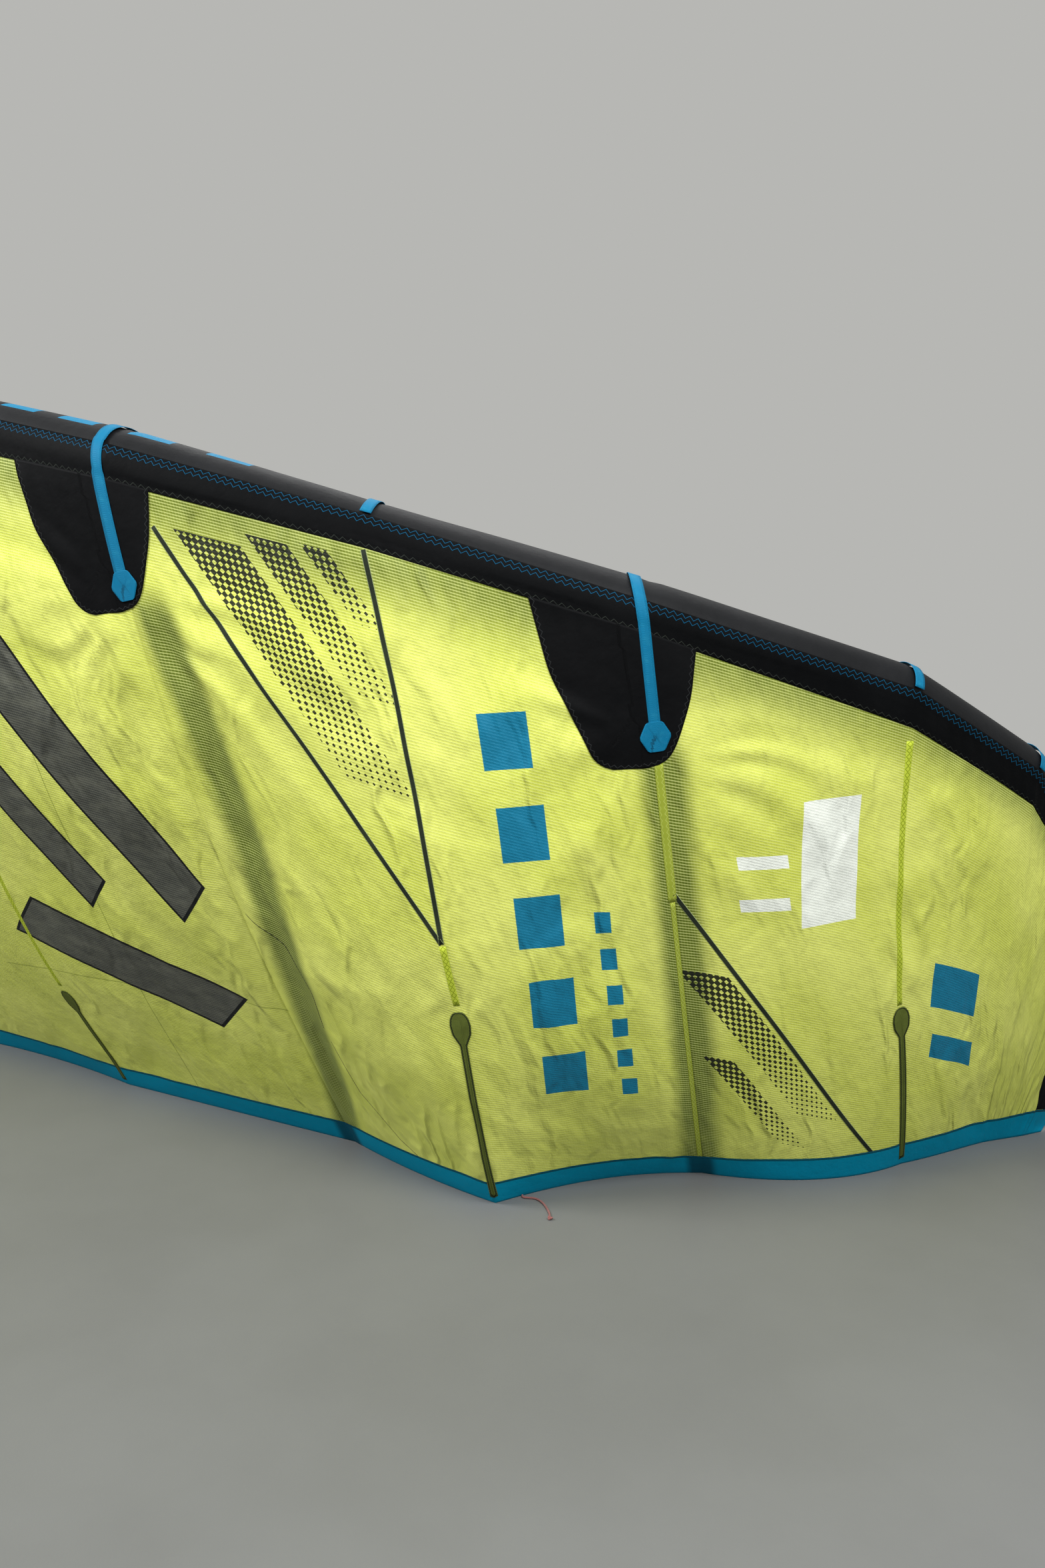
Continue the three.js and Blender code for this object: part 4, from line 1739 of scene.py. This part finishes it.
@dataclass(frozen=True)
class Ribbon:
    """A straight tape sewn on the cloth between two places."""

    name: str
    start: Pair
    end: Pair
    width: float
    layer: Layer
    step: float = 0.012

    def build(self, finish: bpy.types.Material, slot: Slot, rests_on: Iterable[str]) -> bpy.types.Object:
        """Lays the tape."""
        ends = np.array([self.start, self.end], float)
        feet = SKIN.bare(ends[:, 0], ends[:, 1])
        count = max(int(np.linalg.norm(feet[1] - feet[0]) / self.step), 4)
        share = np.linspace(0, 1, count)[:, None]
        line = ends[0] * (1 - share) + ends[1] * share
        x, t = line[:, 0], np.clip(line[:, 1], 0, 0.9995)
        here = SKIN.bare(x, t)
        by_x = (SKIN.bare(x + 0.01, t) - here) / 0.01
        by_t = (SKIN.bare(x, t - 0.002) - here) / -0.002
        ahead = unit(by_x * (ends[1, 0] - ends[0, 0]) + by_t * (ends[1, 1] - ends[0, 1]))
        side = np.cross(SKIN.normal(x, t), ahead)
        xx, xt, tt = (np.sum(a * b, axis=1) for a, b in ((by_x, by_x), (by_x, by_t), (by_t, by_t)))
        sx, st = np.sum(side * by_x, axis=1), np.sum(side * by_t, axis=1)
        det = xx * tt - xt * xt
        turn = np.stack([(sx * tt - st * xt) / det, (st * xx - sx * xt) / det], axis=1)
        across = np.linspace(-0.5, 0.5, 5) * self.width
        grid = line[:, None, :] + turn[:, None, :] * across[None, ::-1, None]
        outer, inner = on_cloth(grid[..., 0], np.clip(grid[..., 1], 0, 0.9995), self.layer)
        walked = distances(here)
        u = np.broadcast_to(walked[:, None], grid.shape[:2])
        v = np.broadcast_to(self.width / 2 - np.abs(across)[None, :], grid.shape[:2])
        piece = closed_sheet(self.name, outer, inner, {CLOTH_MAP: np.stack([u, v], axis=-1)})
        fitted(piece, finish, slot)
        declared(outer, rests_on)
        return piece


@dataclass(frozen=True)
class Reinforcement:
    """The black patch, the strap over the tube and its end pad at a strut."""

    inner_side: tuple[Pair, ...] = ((-0.218, 0.04), (-0.205, -0.055), (-0.15, -0.205), (-0.135, -0.25),
                                    (-0.1, -0.276))
    outer_side: tuple[Pair, ...] = ((-0.01, -0.282), (0.026, -0.268), (0.048, -0.235), (0.084, -0.15),
                                    (0.124, 0.04))
    pad_drop: float = 0.238
    pad: Pair = (0.035, 0.032)
    strap_width: float = 0.025
    back: float = 198.0
    over: float = 0.2

    def outline(self, station: int) -> list[Pair]:
        """The patch's corners, with its sides drawn on past the strip. The middle patch is even."""
        left = self.inner_side if station else tuple((-x, y) for x, y in reversed(self.outer_side[1:]))
        right = self.outer_side if station else self.outer_side[1:]
        corners = [*left, *right]
        for end, beside in ((0, 1), (-1, -2)):
            (x0, y0), (x1, y1) = corners[end], corners[beside]
            corners[end] = (x0 + (x1 - x0) * (y0 - self.over) / (y0 - y1), self.over)
        return corners

    def place(self, x: int, drop: float) -> float:
        """Share down the strut line at a drop, or at the strip's lower edge when the drop is zero."""
        here = np.array([float(x)])
        return (drop if drop else SKIN.value("lap", here)[0]) / SKIN.value("length", here)[0]

    def build(self, x: int, word: str, patch_finish: bpy.types.Material,
              web_finish: bpy.types.Material) -> None:
        """Makes the three pieces.

        Args:
            x: the station, below zero on the left.
            word: the end of the solids' names.
            patch_finish: the patch's material.
            web_finish: the strap's material.
        """
        top_t, pad_t = self.place(x, 0), self.place(x, self.pad_drop)
        facing = (top_t + pad_t) / 2
        corners = self.outline(abs(x))
        if x < 0:
            corners = [(-a, b) for a, b in corners]
        patch = Applique.from_outline(f"strut_patch_{word}", corners, 0.03, Layers.PATCH.value, 60, 40,
                                      True)
        pattern = Pattern.between(x, top_t, pad_t, top_t, facing)
        patch.build(pattern, patch_finish, Slot.BLACK, [f"strut_patch_{word}"], ["nose_tube"])
        half_width, half_height = self.pad
        hexagon = [(half_width, 0.0), (half_width / 2, -half_height), (-half_width / 2, -half_height),
                   (-half_width, 0.0), (-half_width / 2, half_height), (half_width / 2, half_height)]
        pad = Applique.from_outline(f"strap_pad_{word}", hexagon, 0.006, Layers.PAD.value, 16, 14)
        pattern = Pattern.between(x, top_t, pad_t, pad_t, facing)
        pad.build(pattern, web_finish, Slot.WEBBING, [], [f"strut_patch_{word}"])
        self.strap(x, word, pad_t, web_finish)

    def strap(self, x: int, word: str, pad_t: float, finish: bpy.types.Material) -> None:
        """Makes the strap, in the flat plane that holds the strut line.

        Args:
            x: the station, below zero on the left.
            word: the end of the solids' names.
            pad_t: share down the cloth of the pad.
            finish: its material.
        """
        station, sign = abs(x), -1 if x < 0 else 1
        slant = float(SKIN.down[station] @ SKIN.axis[station])
        flat = math.sqrt(1 - slant * slant)
        seam, leave, radius = SKIN.seam[station], SKIN.leave[station], SKIN.radius[station]
        across = np.linspace(-0.5, 0.5, 5) * self.strap_width
        bare, sewn, strap = Layers.BAND.value, Layers.PATCH.value, Layers.STRAP.value
        grids: dict[str, list[Array]] = {"outer": [], "inner": []}
        for angle in np.linspace(self.back, leave, 44, endpoint=False):
            over = float(smoothstep(seam + 9, seam + 2, np.array(angle)))
            for key, rows in grids.items():
                low, high = getattr(bare, key), getattr(sewn, key) + 0.0004
                height = low * (1 - over) + high * over
                turned = math.sin(math.radians(angle)) - math.sin(math.radians(leave))
                slide = (across - (radius + height) * turned * slant) / flat
                rows.append(SKIN.tube(np.full(5, float(x)), np.full(5, angle), height, slide))
        middle = np.array([pad_t / 2])
        reach = SKIN.bare(np.array([x + 0.01 * sign]), middle) - SKIN.bare(np.array([float(x)]), middle)
        spacing = float(np.linalg.norm(reach)) / 0.01 * flat
        for t in np.linspace(0.0005, pad_t, 30):
            over = float(smoothstep(0, 0.02, np.array(t)))
            for key, rows in grids.items():
                height = (getattr(sewn, key) + 0.0004) * (1 - over) + getattr(strap, key) * over
                rows.append(SKIN.cloth(x + sign * across / spacing, np.full(5, t), height))
        outer, inner = (np.stack(rows) for rows in grids.values())
        if x < 0:
            outer, inner = outer[:, ::-1], inner[:, ::-1]
        walked = distances(outer[:, 2])
        shape = outer.shape[:2]
        u = np.broadcast_to(across + self.strap_width / 2, shape)
        v = np.broadcast_to(walked[:, None], shape)
        edge = np.broadcast_to(self.strap_width / 2 - np.abs(across), shape)
        maps = {CLOTH_MAP: np.stack([u, v], axis=-1), EDGE_MAP: np.stack([edge, v], axis=-1)}
        piece = closed_sheet(f"strap_{word}", outer, inner, maps)
        fitted(piece, finish, Slot.WEBBING, [f"strap_{word}"])
        declared(outer, ["nose_tube", f"strut_patch_{word}"])


@dataclass(frozen=True)
class TubeBand:
    """A tape round the bare part of the tube, over a joint."""

    name: str
    station: int
    width: float = 0.025
    margin: float = 4.0
    back: float = 324.0

    def build(self, half: Half, finish: bpy.types.Material) -> bpy.types.Object:
        """Makes the tape."""
        x = float(self.station * half.value)
        degrees = np.linspace(self.back, SKIN.seam[self.station] + self.margin, 60)
        across = np.linspace(-0.5, 0.5, 5) * self.width
        place = np.full(degrees.size * 5, x)
        turns, slides = (grid.ravel() for grid in np.meshgrid(degrees, across * half.value, indexing="ij"))
        layer = Layers.BAND.value
        shape = (degrees.size, 5)
        outer, inner = (SKIN.tube(place, turns, h, slides * half.value).reshape(*shape,
                                                                                3) for h in (layer.outer,
                                                                                             layer.inner))
        if half is Half.LEFT:
            outer, inner = outer[:, ::-1], inner[:, ::-1]
        v = np.radians(self.back - degrees)[:, None] * SKIN.radius[self.station]
        v = np.broadcast_to(v, shape)
        u = np.broadcast_to(across + self.width / 2, shape)
        edge = np.broadcast_to(self.width / 2 - np.abs(across), shape)
        maps = {CLOTH_MAP: np.stack([u, v], axis=-1), EDGE_MAP: np.stack([edge, v], axis=-1)}
        name = f"tube_band_{half.word}_{self.name}"
        piece = fitted(closed_sheet(name, outer, inner, maps), finish, Slot.WEBBING, [name])
        declared(outer, ["nose_tube"])
        return piece


@dataclass(frozen=True)
class Batten:
    """The narrow batten pocket above the trailing edge, with its round end."""

    name: str
    station: int
    top: float
    width: float = 0.017
    head: tuple[Pair, ...] = ((0.0, 0.009), (0.005, 0.0155), (0.017, 0.0215), (0.034, 0.024),
                              (0.058, 0.0215), (0.086, 0.0085))
    foot: float = 0.025

    def build(self, half: Half, finish: bpy.types.Material) -> bpy.types.Object:
        """Makes the pocket."""
        x = float(self.station * half.value)
        foot = 1 - self.foot / SKIN.length[self.station]
        ends = SKIN.bare(np.array([x, x]), np.array([self.top, foot]))
        rise = float(np.linalg.norm(ends[0] - ends[1]))
        head_length = self.head[-1][0]
        rises = np.concatenate([np.linspace(0, rise - head_length, 40),
                                np.linspace(rise - head_length, rise, 24)[1:]])
        from_top, half_widths = zip(*self.head)
        half_width = np.interp(rise - rises, from_top, half_widths)
        name = f"batten_{half.word}_{self.name}"
        pocket = Applique(name, rises, -half_width, half_width, Layers.PATCH.value, 8)
        pattern = Pattern.between(x, self.top, foot, foot, (self.top + 1) / 2)
        return pocket.build(pattern, finish, Slot.BATTEN, [name], [f"edge_band_{half.word}"])


@dataclass(frozen=True)
class Strut:
    """An inflated strut behind the cloth, from the tube to the trailing edge."""

    share_of_tube: float = 0.47
    foot_radius: float = 0.024
    sides: int = 28
    rings: int = 70

    def build(self, x: int, word: str, finish: bpy.types.Material) -> bpy.types.Object:
        """Makes the strut.

        Args:
            x: the station, below zero on the left.
            word: the end of the solid's name.
            finish: its material.

        Returns:
            The piece.
        """
        station = abs(x)
        length = SKIN.length[station]
        last = 1 - 0.75 * EDGE_BAND_HEIGHT / length
        t = np.linspace(0.25 * SKIN.lap[station] / length, last, self.rings)
        full = self.share_of_tube * SKIN.radius[station]
        share = np.clip((t - t[0]) / (1 - EDGE_BAND_HEIGHT / length - t[0]), 0, 1)
        radius = full * (1 - share) + self.foot_radius * share
        from_end = np.clip((last - t) * length / 0.03, 0, 1)
        radius = radius * np.sqrt(np.maximum(1 - (1 - from_end) ** 2, 0.03))
        place = np.full(self.rings, float(x))
        skin, normal = SKIN.bare(place, t), SKIN.normal(place, t)
        ahead = unit(np.gradient(skin, axis=0))
        normal = unit(normal - ahead * np.sum(normal * ahead, axis=1)[:, None])
        across = np.cross(ahead, normal)
        angle = np.linspace(0, 2 * np.pi, self.sides, endpoint=False)[None, :, None]
        walked = t * length
        ripple = 0.0006 * np.cos(angle[..., 0] * 9 + walked[:, None] * 40) * np.exp(-walked[:, None] / 0.2)
        round_way = normal[:, None] * np.cos(angle) + across[:, None] * np.sin(angle)
        spread = (radius[:, None] - np.abs(ripple))[..., None]
        rings = skin[:, None] - normal[:, None] * radius[:, None, None] + round_way * spread
        u = np.broadcast_to(walked[:, None], rings.shape[:2])
        v = angle[..., 0] * full + 0 * u
        strut = lofted(f"strut_{word}", rings[:, ::-1], np.stack([u, v], axis=-1)[:, ::-1])
        fitted(strut, finish, Slot.TUBE, [f"strut_{word}"])
        return strut


@dataclass(frozen=True)
class CordEnd:
    """The short free end of red cord on the floor, with a knot."""

    radius: float = 0.0025
    station: float = 3.0
    share: float = 0.6
    clear: float = 0.0031
    straight: float = 0.014
    route: tuple[Pair, ...] = ((2.197, 0.267), (2.225, 0.261), (2.260, 0.237), (2.281, 0.215))

    def line(self) -> Array:
        """The cord's middle line."""
        points = []
        for clear in (self.clear, self.straight):
            ends = SKIN.cloth(np.array([self.station, self.station + 0.2]), np.array([1.0, 1.0]),
                              0.0023 + clear)
            points.append(ends[0] * (1 - self.share) + ends[1] * self.share)
        points += [np.array([x, y + BACK_SHIFT, 0.0]) for x, y in self.route]
        knots = np.array(points)
        knots[:, 2] = self.radius
        before, after = 2 * knots[0] - knots[1], 2 * knots[-1] - knots[-2]
        framed = np.vstack([before, knots, after])
        line = []
        for i in range(1, len(framed) - 2):
            a, b, c, d = framed[i - 1 : i + 3]
            for f in np.linspace(0, 1, 7, endpoint=False):
                cubic = (3 * b - a - 3 * c + d) * f**3
                line.append(0.5 * (2 * b + (c - a) * f + (2 * a - 5 * b + 4 * c - d) * f**2 + cubic))
        return np.array([*line, knots[-1]])

    def build(self, finish: bpy.types.Material) -> bpy.types.Object:
        """Makes the cord and its knot."""
        line = self.line()
        piece = self.pipe("cord_end", line, self.radius)
        ahead = unit(line[-1] - line[-2])
        side = np.array([-ahead[1], ahead[0], 0.0])
        turn = np.linspace(0, 2 * np.pi, 49)[:-1]
        loops = line[-1] + ahead * 0.003 + np.array([0, 0, 0.0018])
        spiral = [loops + ahead * 0.0034 * math.sin(2 * a)
                  + side * 0.0032 * math.cos(a) * (1 + 0.3 * math.cos(2 * a))
                  + np.array([0, 0, 0.0019]) * math.sin(3 * a) for a in turn]
        knot = self.pipe("cord_knot", np.array(spiral), self.radius * 0.8)
        fitted(piece, finish, Slot.CORD, ["cord_end"])
        fitted(knot, finish, Slot.CORD)
        length = float(distances(line)[-1])
        return piece

    @staticmethod
    def pipe(name: str, line: Array, radius: float) -> bpy.types.Object:
        """A round cord along a line.

        Args:
            name: the piece's name.
            line: its middle line.
            radius: its radius.

        Returns:
            The piece.
        """
        ahead = unit(np.gradient(line, axis=0))
        side = unit(np.cross(ahead, np.array([0, 0, 1.0])))
        up = np.cross(side, ahead)
        angle = np.linspace(0, 2 * np.pi, 14, endpoint=False)[None, :, None]
        rings = line[:, None] + (side[:, None] * np.cos(angle) + up[:, None] * np.sin(angle)) * radius
        walked = distances(line)
        u = np.broadcast_to(walked[:, None], rings.shape[:2])
        return lofted(name, rings, np.stack([u, angle[..., 0] * radius + 0 * u], axis=-1))


# Studio


@dataclass(frozen=True)
class Studio:
    """Camera, lights and floor."""

    eye: Point = (3.83, -2.4346, 1.40)
    azimuth: float = 38.0
    pitch: float = 8.15
    roll: float = 0.75
    lens: float = 27.4
    floor_size: float = 16.0

    def camera(self) -> bpy.types.Object:
        """Makes the camera at the photograph's place."""
        data = bpy.data.cameras.new("camera")
        data.lens, data.sensor_width, data.sensor_fit = self.lens, 36.0, "AUTO"
        made = bpy.data.objects.new("camera", data)
        bpy.context.scene.collection.objects.link(made)
        around, tilt, lean = (math.radians(a) for a in (self.azimuth, self.pitch, self.roll))
        ahead = Vector((-math.sin(around) * math.cos(tilt), math.cos(around) * math.cos(tilt),
                        -math.sin(tilt)))
        level = ahead.cross(Vector((0, 0, 1))).normalized()
        rise = level.cross(ahead)
        right = level * math.cos(lean) + rise * math.sin(lean)
        up = rise * math.cos(lean) - level * math.sin(lean)
        turned = Matrix((right, up, -ahead)).transposed().to_4x4()
        made.matrix_world = Matrix.Translation(self.eye) @ turned
        bpy.context.scene.camera = made
        return made

    def lamp(self, name: str, place: Sequence[float], target: Sequence[float], size: Pair,
             power: float) -> None:
        """A soft rectangular lamp.

        Args:
            name: its name.
            place: where it hangs.
            target: what it points at.
            size: its sides in metres.
            power: its power in watts.
        """
        data = bpy.data.lights.new(name, "AREA")
        data.shape, data.size, data.size_y, data.energy = "RECTANGLE", *size, power
        made = bpy.data.objects.new(name, data)
        bpy.context.scene.collection.objects.link(made)
        made.location = place
        made.rotation_euler = (Vector(target) - Vector(place)).to_track_quat("-Z", "Y").to_euler()

    def lights(self) -> None:
        """Two ceiling lamps and a pale surrounding."""
        self.lamp("ceiling_front", (0.2, -3.6, 3.9), (1.8, -0.3, 0.7), (1.5, 1.0), 165)
        self.lamp("ceiling_side", (4.6, -1.6, 3.8), (2.7, -0.2, 0.7), (2.4, 1.6), 150)
        self.lamp("ceiling_back", (0.5, 1.8, 4.6), (0.8, 0.0, 0.6), (4.5, 2.5), 90)
        world = bpy.data.worlds.new("studio")
        bpy.context.scene.world = world
        world.use_nodes = True
        shade = world.node_tree.nodes["Background"].inputs
        shade["Color"].default_value = (0.79, 0.79, 0.76, 1)
        shade["Strength"].default_value = 0.6
        bpy.context.scene.view_settings.view_transform = "Standard"

    def floor(self) -> None:
        """A wide pale floor."""
        half = self.floor_size / 2
        grid = np.array([[(x * half, y * half, -0.0005) for x in (-1, 1)] for y in (1, -1)])
        floor = new_object("floor", grid.reshape(-1, 3), np.array([[0, 2, 3, 1]]),
                           {CLOTH_MAP: grid[..., :2].reshape(-1, 2)})
        floor.data.materials.append(Plain("floor_grey", (0.165, 0.168, 0.168), (0.182, 0.186, 0.186),
                                          0.38).material())


def chain(points: Sequence[Pair], width: float) -> tuple[Bar, ...]:
    """A thin line through points of the flat cloth, as narrow bars.

    Args:
        points: distances along and down.
        width: the line's width.

    Returns:
        One bar for each stretch.
    """
    bars = []
    for (a, b), (c, d) in zip(points, points[1:]):
        length = math.hypot(c - a, d - b) + width / 2
        bars.append(Bar((a + c) / 2, (b + d) / 2, width, length, math.degrees(math.atan2(c - a, d - b))))
    return tuple(bars)


def prints() -> Artwork:
    """The plain printed blocks of the canopy, the same on both halves."""
    line = ((1.537, 1.014), (1.62, 1.062), (1.652, 1.18), (1.645, 1.285))
    lower_line = ((1.655, 1.32), (1.689, 1.464), (1.78, 1.567), (1.86, 1.6))
    return Artwork(
        grey=(Bar(1.22, 0.76, 0.17, 0.62, 32, 18), Bar(0.98, 0.93, 0.12, 0.40, 32, 18),
                 Bar(1.06, 1.33, 0.16, 0.50, 78, -30)),
        blue=(
            *(Bar(2.335 + 0.004 * n, 0.34 + 0.19 * n, 0.115, 0.11, -3, 20) for n in range(5)),
            *(Bar(2.505 + 0.003 * n, 0.69 + 0.085 * n, 0.042, 0.048, -3, 14) for n in range(6)),
            Bar(3.50, 0.66, 0.17, 0.12, -6, 12), Bar(3.50, 0.83, 0.17, 0.07, -6, 12),
        ),
        white=(Bar(3.09, 0.43, 0.16, 0.28, -3, 22), Bar(2.91, 0.47, 0.03, 0.13, 104, -8),
                  Bar(2.91, 0.57, 0.03, 0.13, 104, -8)),
        dotted=(
            Bar(1.886, 0.30, 0.13, 0.44, 32, -32), Bar(1.976, 0.19, 0.08, 0.28, 32, -32),
            Bar(2.04, 0.11, 0.05, 0.14, 32, -32),
            Bar(2.885, 0.95, 0.095, 0.36, 38, -38), Bar(2.855, 1.12, 0.06, 0.24, 38, -38),
        ),
        black=chain(line, 0.0035) + chain(lower_line, 0.003),
        seams=(Bar(1.076, 1.142, 0.003, 1.37, -2.6), Bar(1.042, 1.405, 0.003, 0.99, 101.2)),
    )


def build_kite() -> None:
    """Makes every piece of the kite."""
    CordEnd().build(Braid("red_cord").material())
    black = Woven("black_strip", (0.0012, 0.0015, 0.0018), (0.007, 0.0075, 0.0085), (0.003, 0.08, 0.165),
                  rows=(0.007, 0.017),
                  low_rows=(0.007,), low_thread=(0.03, 0.035, 0.03), stitch=Stitch(0.018, 0.008, 0.0011))
    patch = Woven("black_patch", (0.0018, 0.002, 0.0024), (0.011, 0.0115, 0.0125), (0.025, 0.027, 0.028),
                  rows=(0.007,), grain=0.0016)
    places = (float(np.interp(x, range(TIP + 1), SKIN.along)) for x in (1.6, 1.82, 2.1, 2.42))
    bars = tuple(Bar(s, 0.175, 0.1, 0.075, 0, 0) for s in places)
    tube = Woven("tube_dacron", (0.003, 0.0035, 0.0045), (0.014, 0.015, 0.017), (0, 0, 0), rough=0.45,
                 bars=bars, wear=0.5, shine=0.16)
    strut = Woven("strut_dacron", (0.003, 0.0035, 0.0045), (0.014, 0.015, 0.017), (0, 0, 0), rough=0.45,
                  wear=0.5, shine=0.16)
    edge = Woven("edge_blue", (0.0, 0.235, 0.39), (0.003, 0.29, 0.46), (0.002, 0.07, 0.11), rows=(0.004,),
                 rough=0.45,
                 lap=0.007, lap_colour=(0.003, 0.055, 0.08), grain=0.0014, behind=(0.002, 0.035, 0.06))
    pocket = Woven("batten_olive", (0.088, 0.112, 0.022), (0.19, 0.235, 0.052), (0.02, 0.026, 0.014),
                   rows=(0.0028,), grain=0.0042,
                   stitch=Stitch(0.008, 0.001, 0.0018), wear=0.5)
    dark_tape = Woven("dark_tape", (0.010, 0.013, 0.011), (0.07, 0.09, 0.05), (0.42, 0.50, 0.22),
                      rows=(0.0003,),
                      stitch=Stitch(0.006, 0.0002, 0.0009), grain=0.0032, wear=0.35)
    light_tape = Woven("light_tape", (0.50, 0.60, 0.045), (0.60, 0.69, 0.10), (0.26, 0.33, 0.015),
                       rows=(0.0045,),
                       stitch=Stitch(0.014, 0.006, 0.0014), grain=0.0032)
    olive_tape = Woven("olive_tape", (0.30, 0.36, 0.035), (0.44, 0.51, 0.08), (0.50, 0.58, 0.12),
                       rows=(0.0045,),
                       stitch=Stitch(0.014, 0.005, 0.0013), grain=0.0032)
    web = Webbing("blue_webbing").material()
    lime = Ripstop("lime_ripstop", prints()).material()
    black_cloth, patch_cloth = black.material(), patch.material()
    edge_cloth, pocket_cloth = edge.material(), pocket.material()
    dark_cloth, light_cloth, olive_cloth = dark_tape.material(), light_tape.material(), olive_tape.material()
    strut_cloth = strut.material()
    NoseTube().build(tube.material())
    panels = (Panel("canopy_inner", 0, 2), Panel("canopy_middle", 2, 4),
              Panel("canopy_outer", 4, TIP - 0.6))
    for half in Half:
        for panel in panels:
            panel.build(half, lime, Slot.CANOPY)
        Panel("canopy_tip", TIP - 0.6, TIP).build(half, patch_cloth, Slot.BLACK)
        NoseStrip().build(half, black_cloth)
        EdgeBand().build(half, edge_cloth)
        TipPatch().build(half, patch_cloth)
        for name, station in (("a", 1), ("b", 3), ("c", 5), ("d", 6)):
            TubeBand(name, station).build(half, web)
        for name, station, top in (("a", 1, 0.8), ("b", 3, 0.63), ("c", 5, 0.6)):
            Batten(name, station, top).build(half, pocket_cloth)
        for name, start, end, width, cloth in (
            ("slant_inner", (2.18, 0.05), (2.99, 0.527), 0.011, dark_cloth),
            ("seam_b", (3.02, 0.012), (2.99, 0.527), 0.011, dark_cloth),
            ("slant_outer", (4.01, 0.407), (4.83, 0.955), 0.011, dark_cloth),
            ("strut_line_outer", (4.0, 0.42), (4.0, 0.95), 0.013, olive_cloth),
            ("strut_tape_outer", (4.0, 0.205), (4.0, 0.42), 0.022, olive_cloth),
            ("seam_a", (1.0, 0.012), (1.0, 0.79), 0.014, light_cloth),
            ("seam_b_low", (2.992, 0.53), (3.0, 0.62), 0.014, light_cloth),
            ("seam_c", (5.0, 0.07), (5.0, 0.595), 0.014, light_cloth),
        ):
            sides = [(half.value * x, t) for x, t in (start, end)]
            ribbon = Ribbon(f"{name}_{half.word}", *sides, width, Layers.TAPE.value)
            ribbon.build(cloth, Slot.CANOPY, [f"canopy_middle_{half.word}"])
    for x, word in ((0, "mid"), (-2, "left_inner"), (2, "right_inner"), (-4, "left_outer"),
                    (4, "right_outer")):
        Strut().build(x, word, strut_cloth)
        Reinforcement().build(x, word, patch_cloth, web)


def main() -> None:
    """Builds the whole scene."""
    logging.basicConfig(level=logging.INFO, format="%(name)s: %(message)s")
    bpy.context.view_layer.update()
    studio = Studio()
    studio.camera()
    build_kite()
    studio.floor()
    studio.lights()
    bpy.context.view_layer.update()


if __name__ == "__main__":
    main()
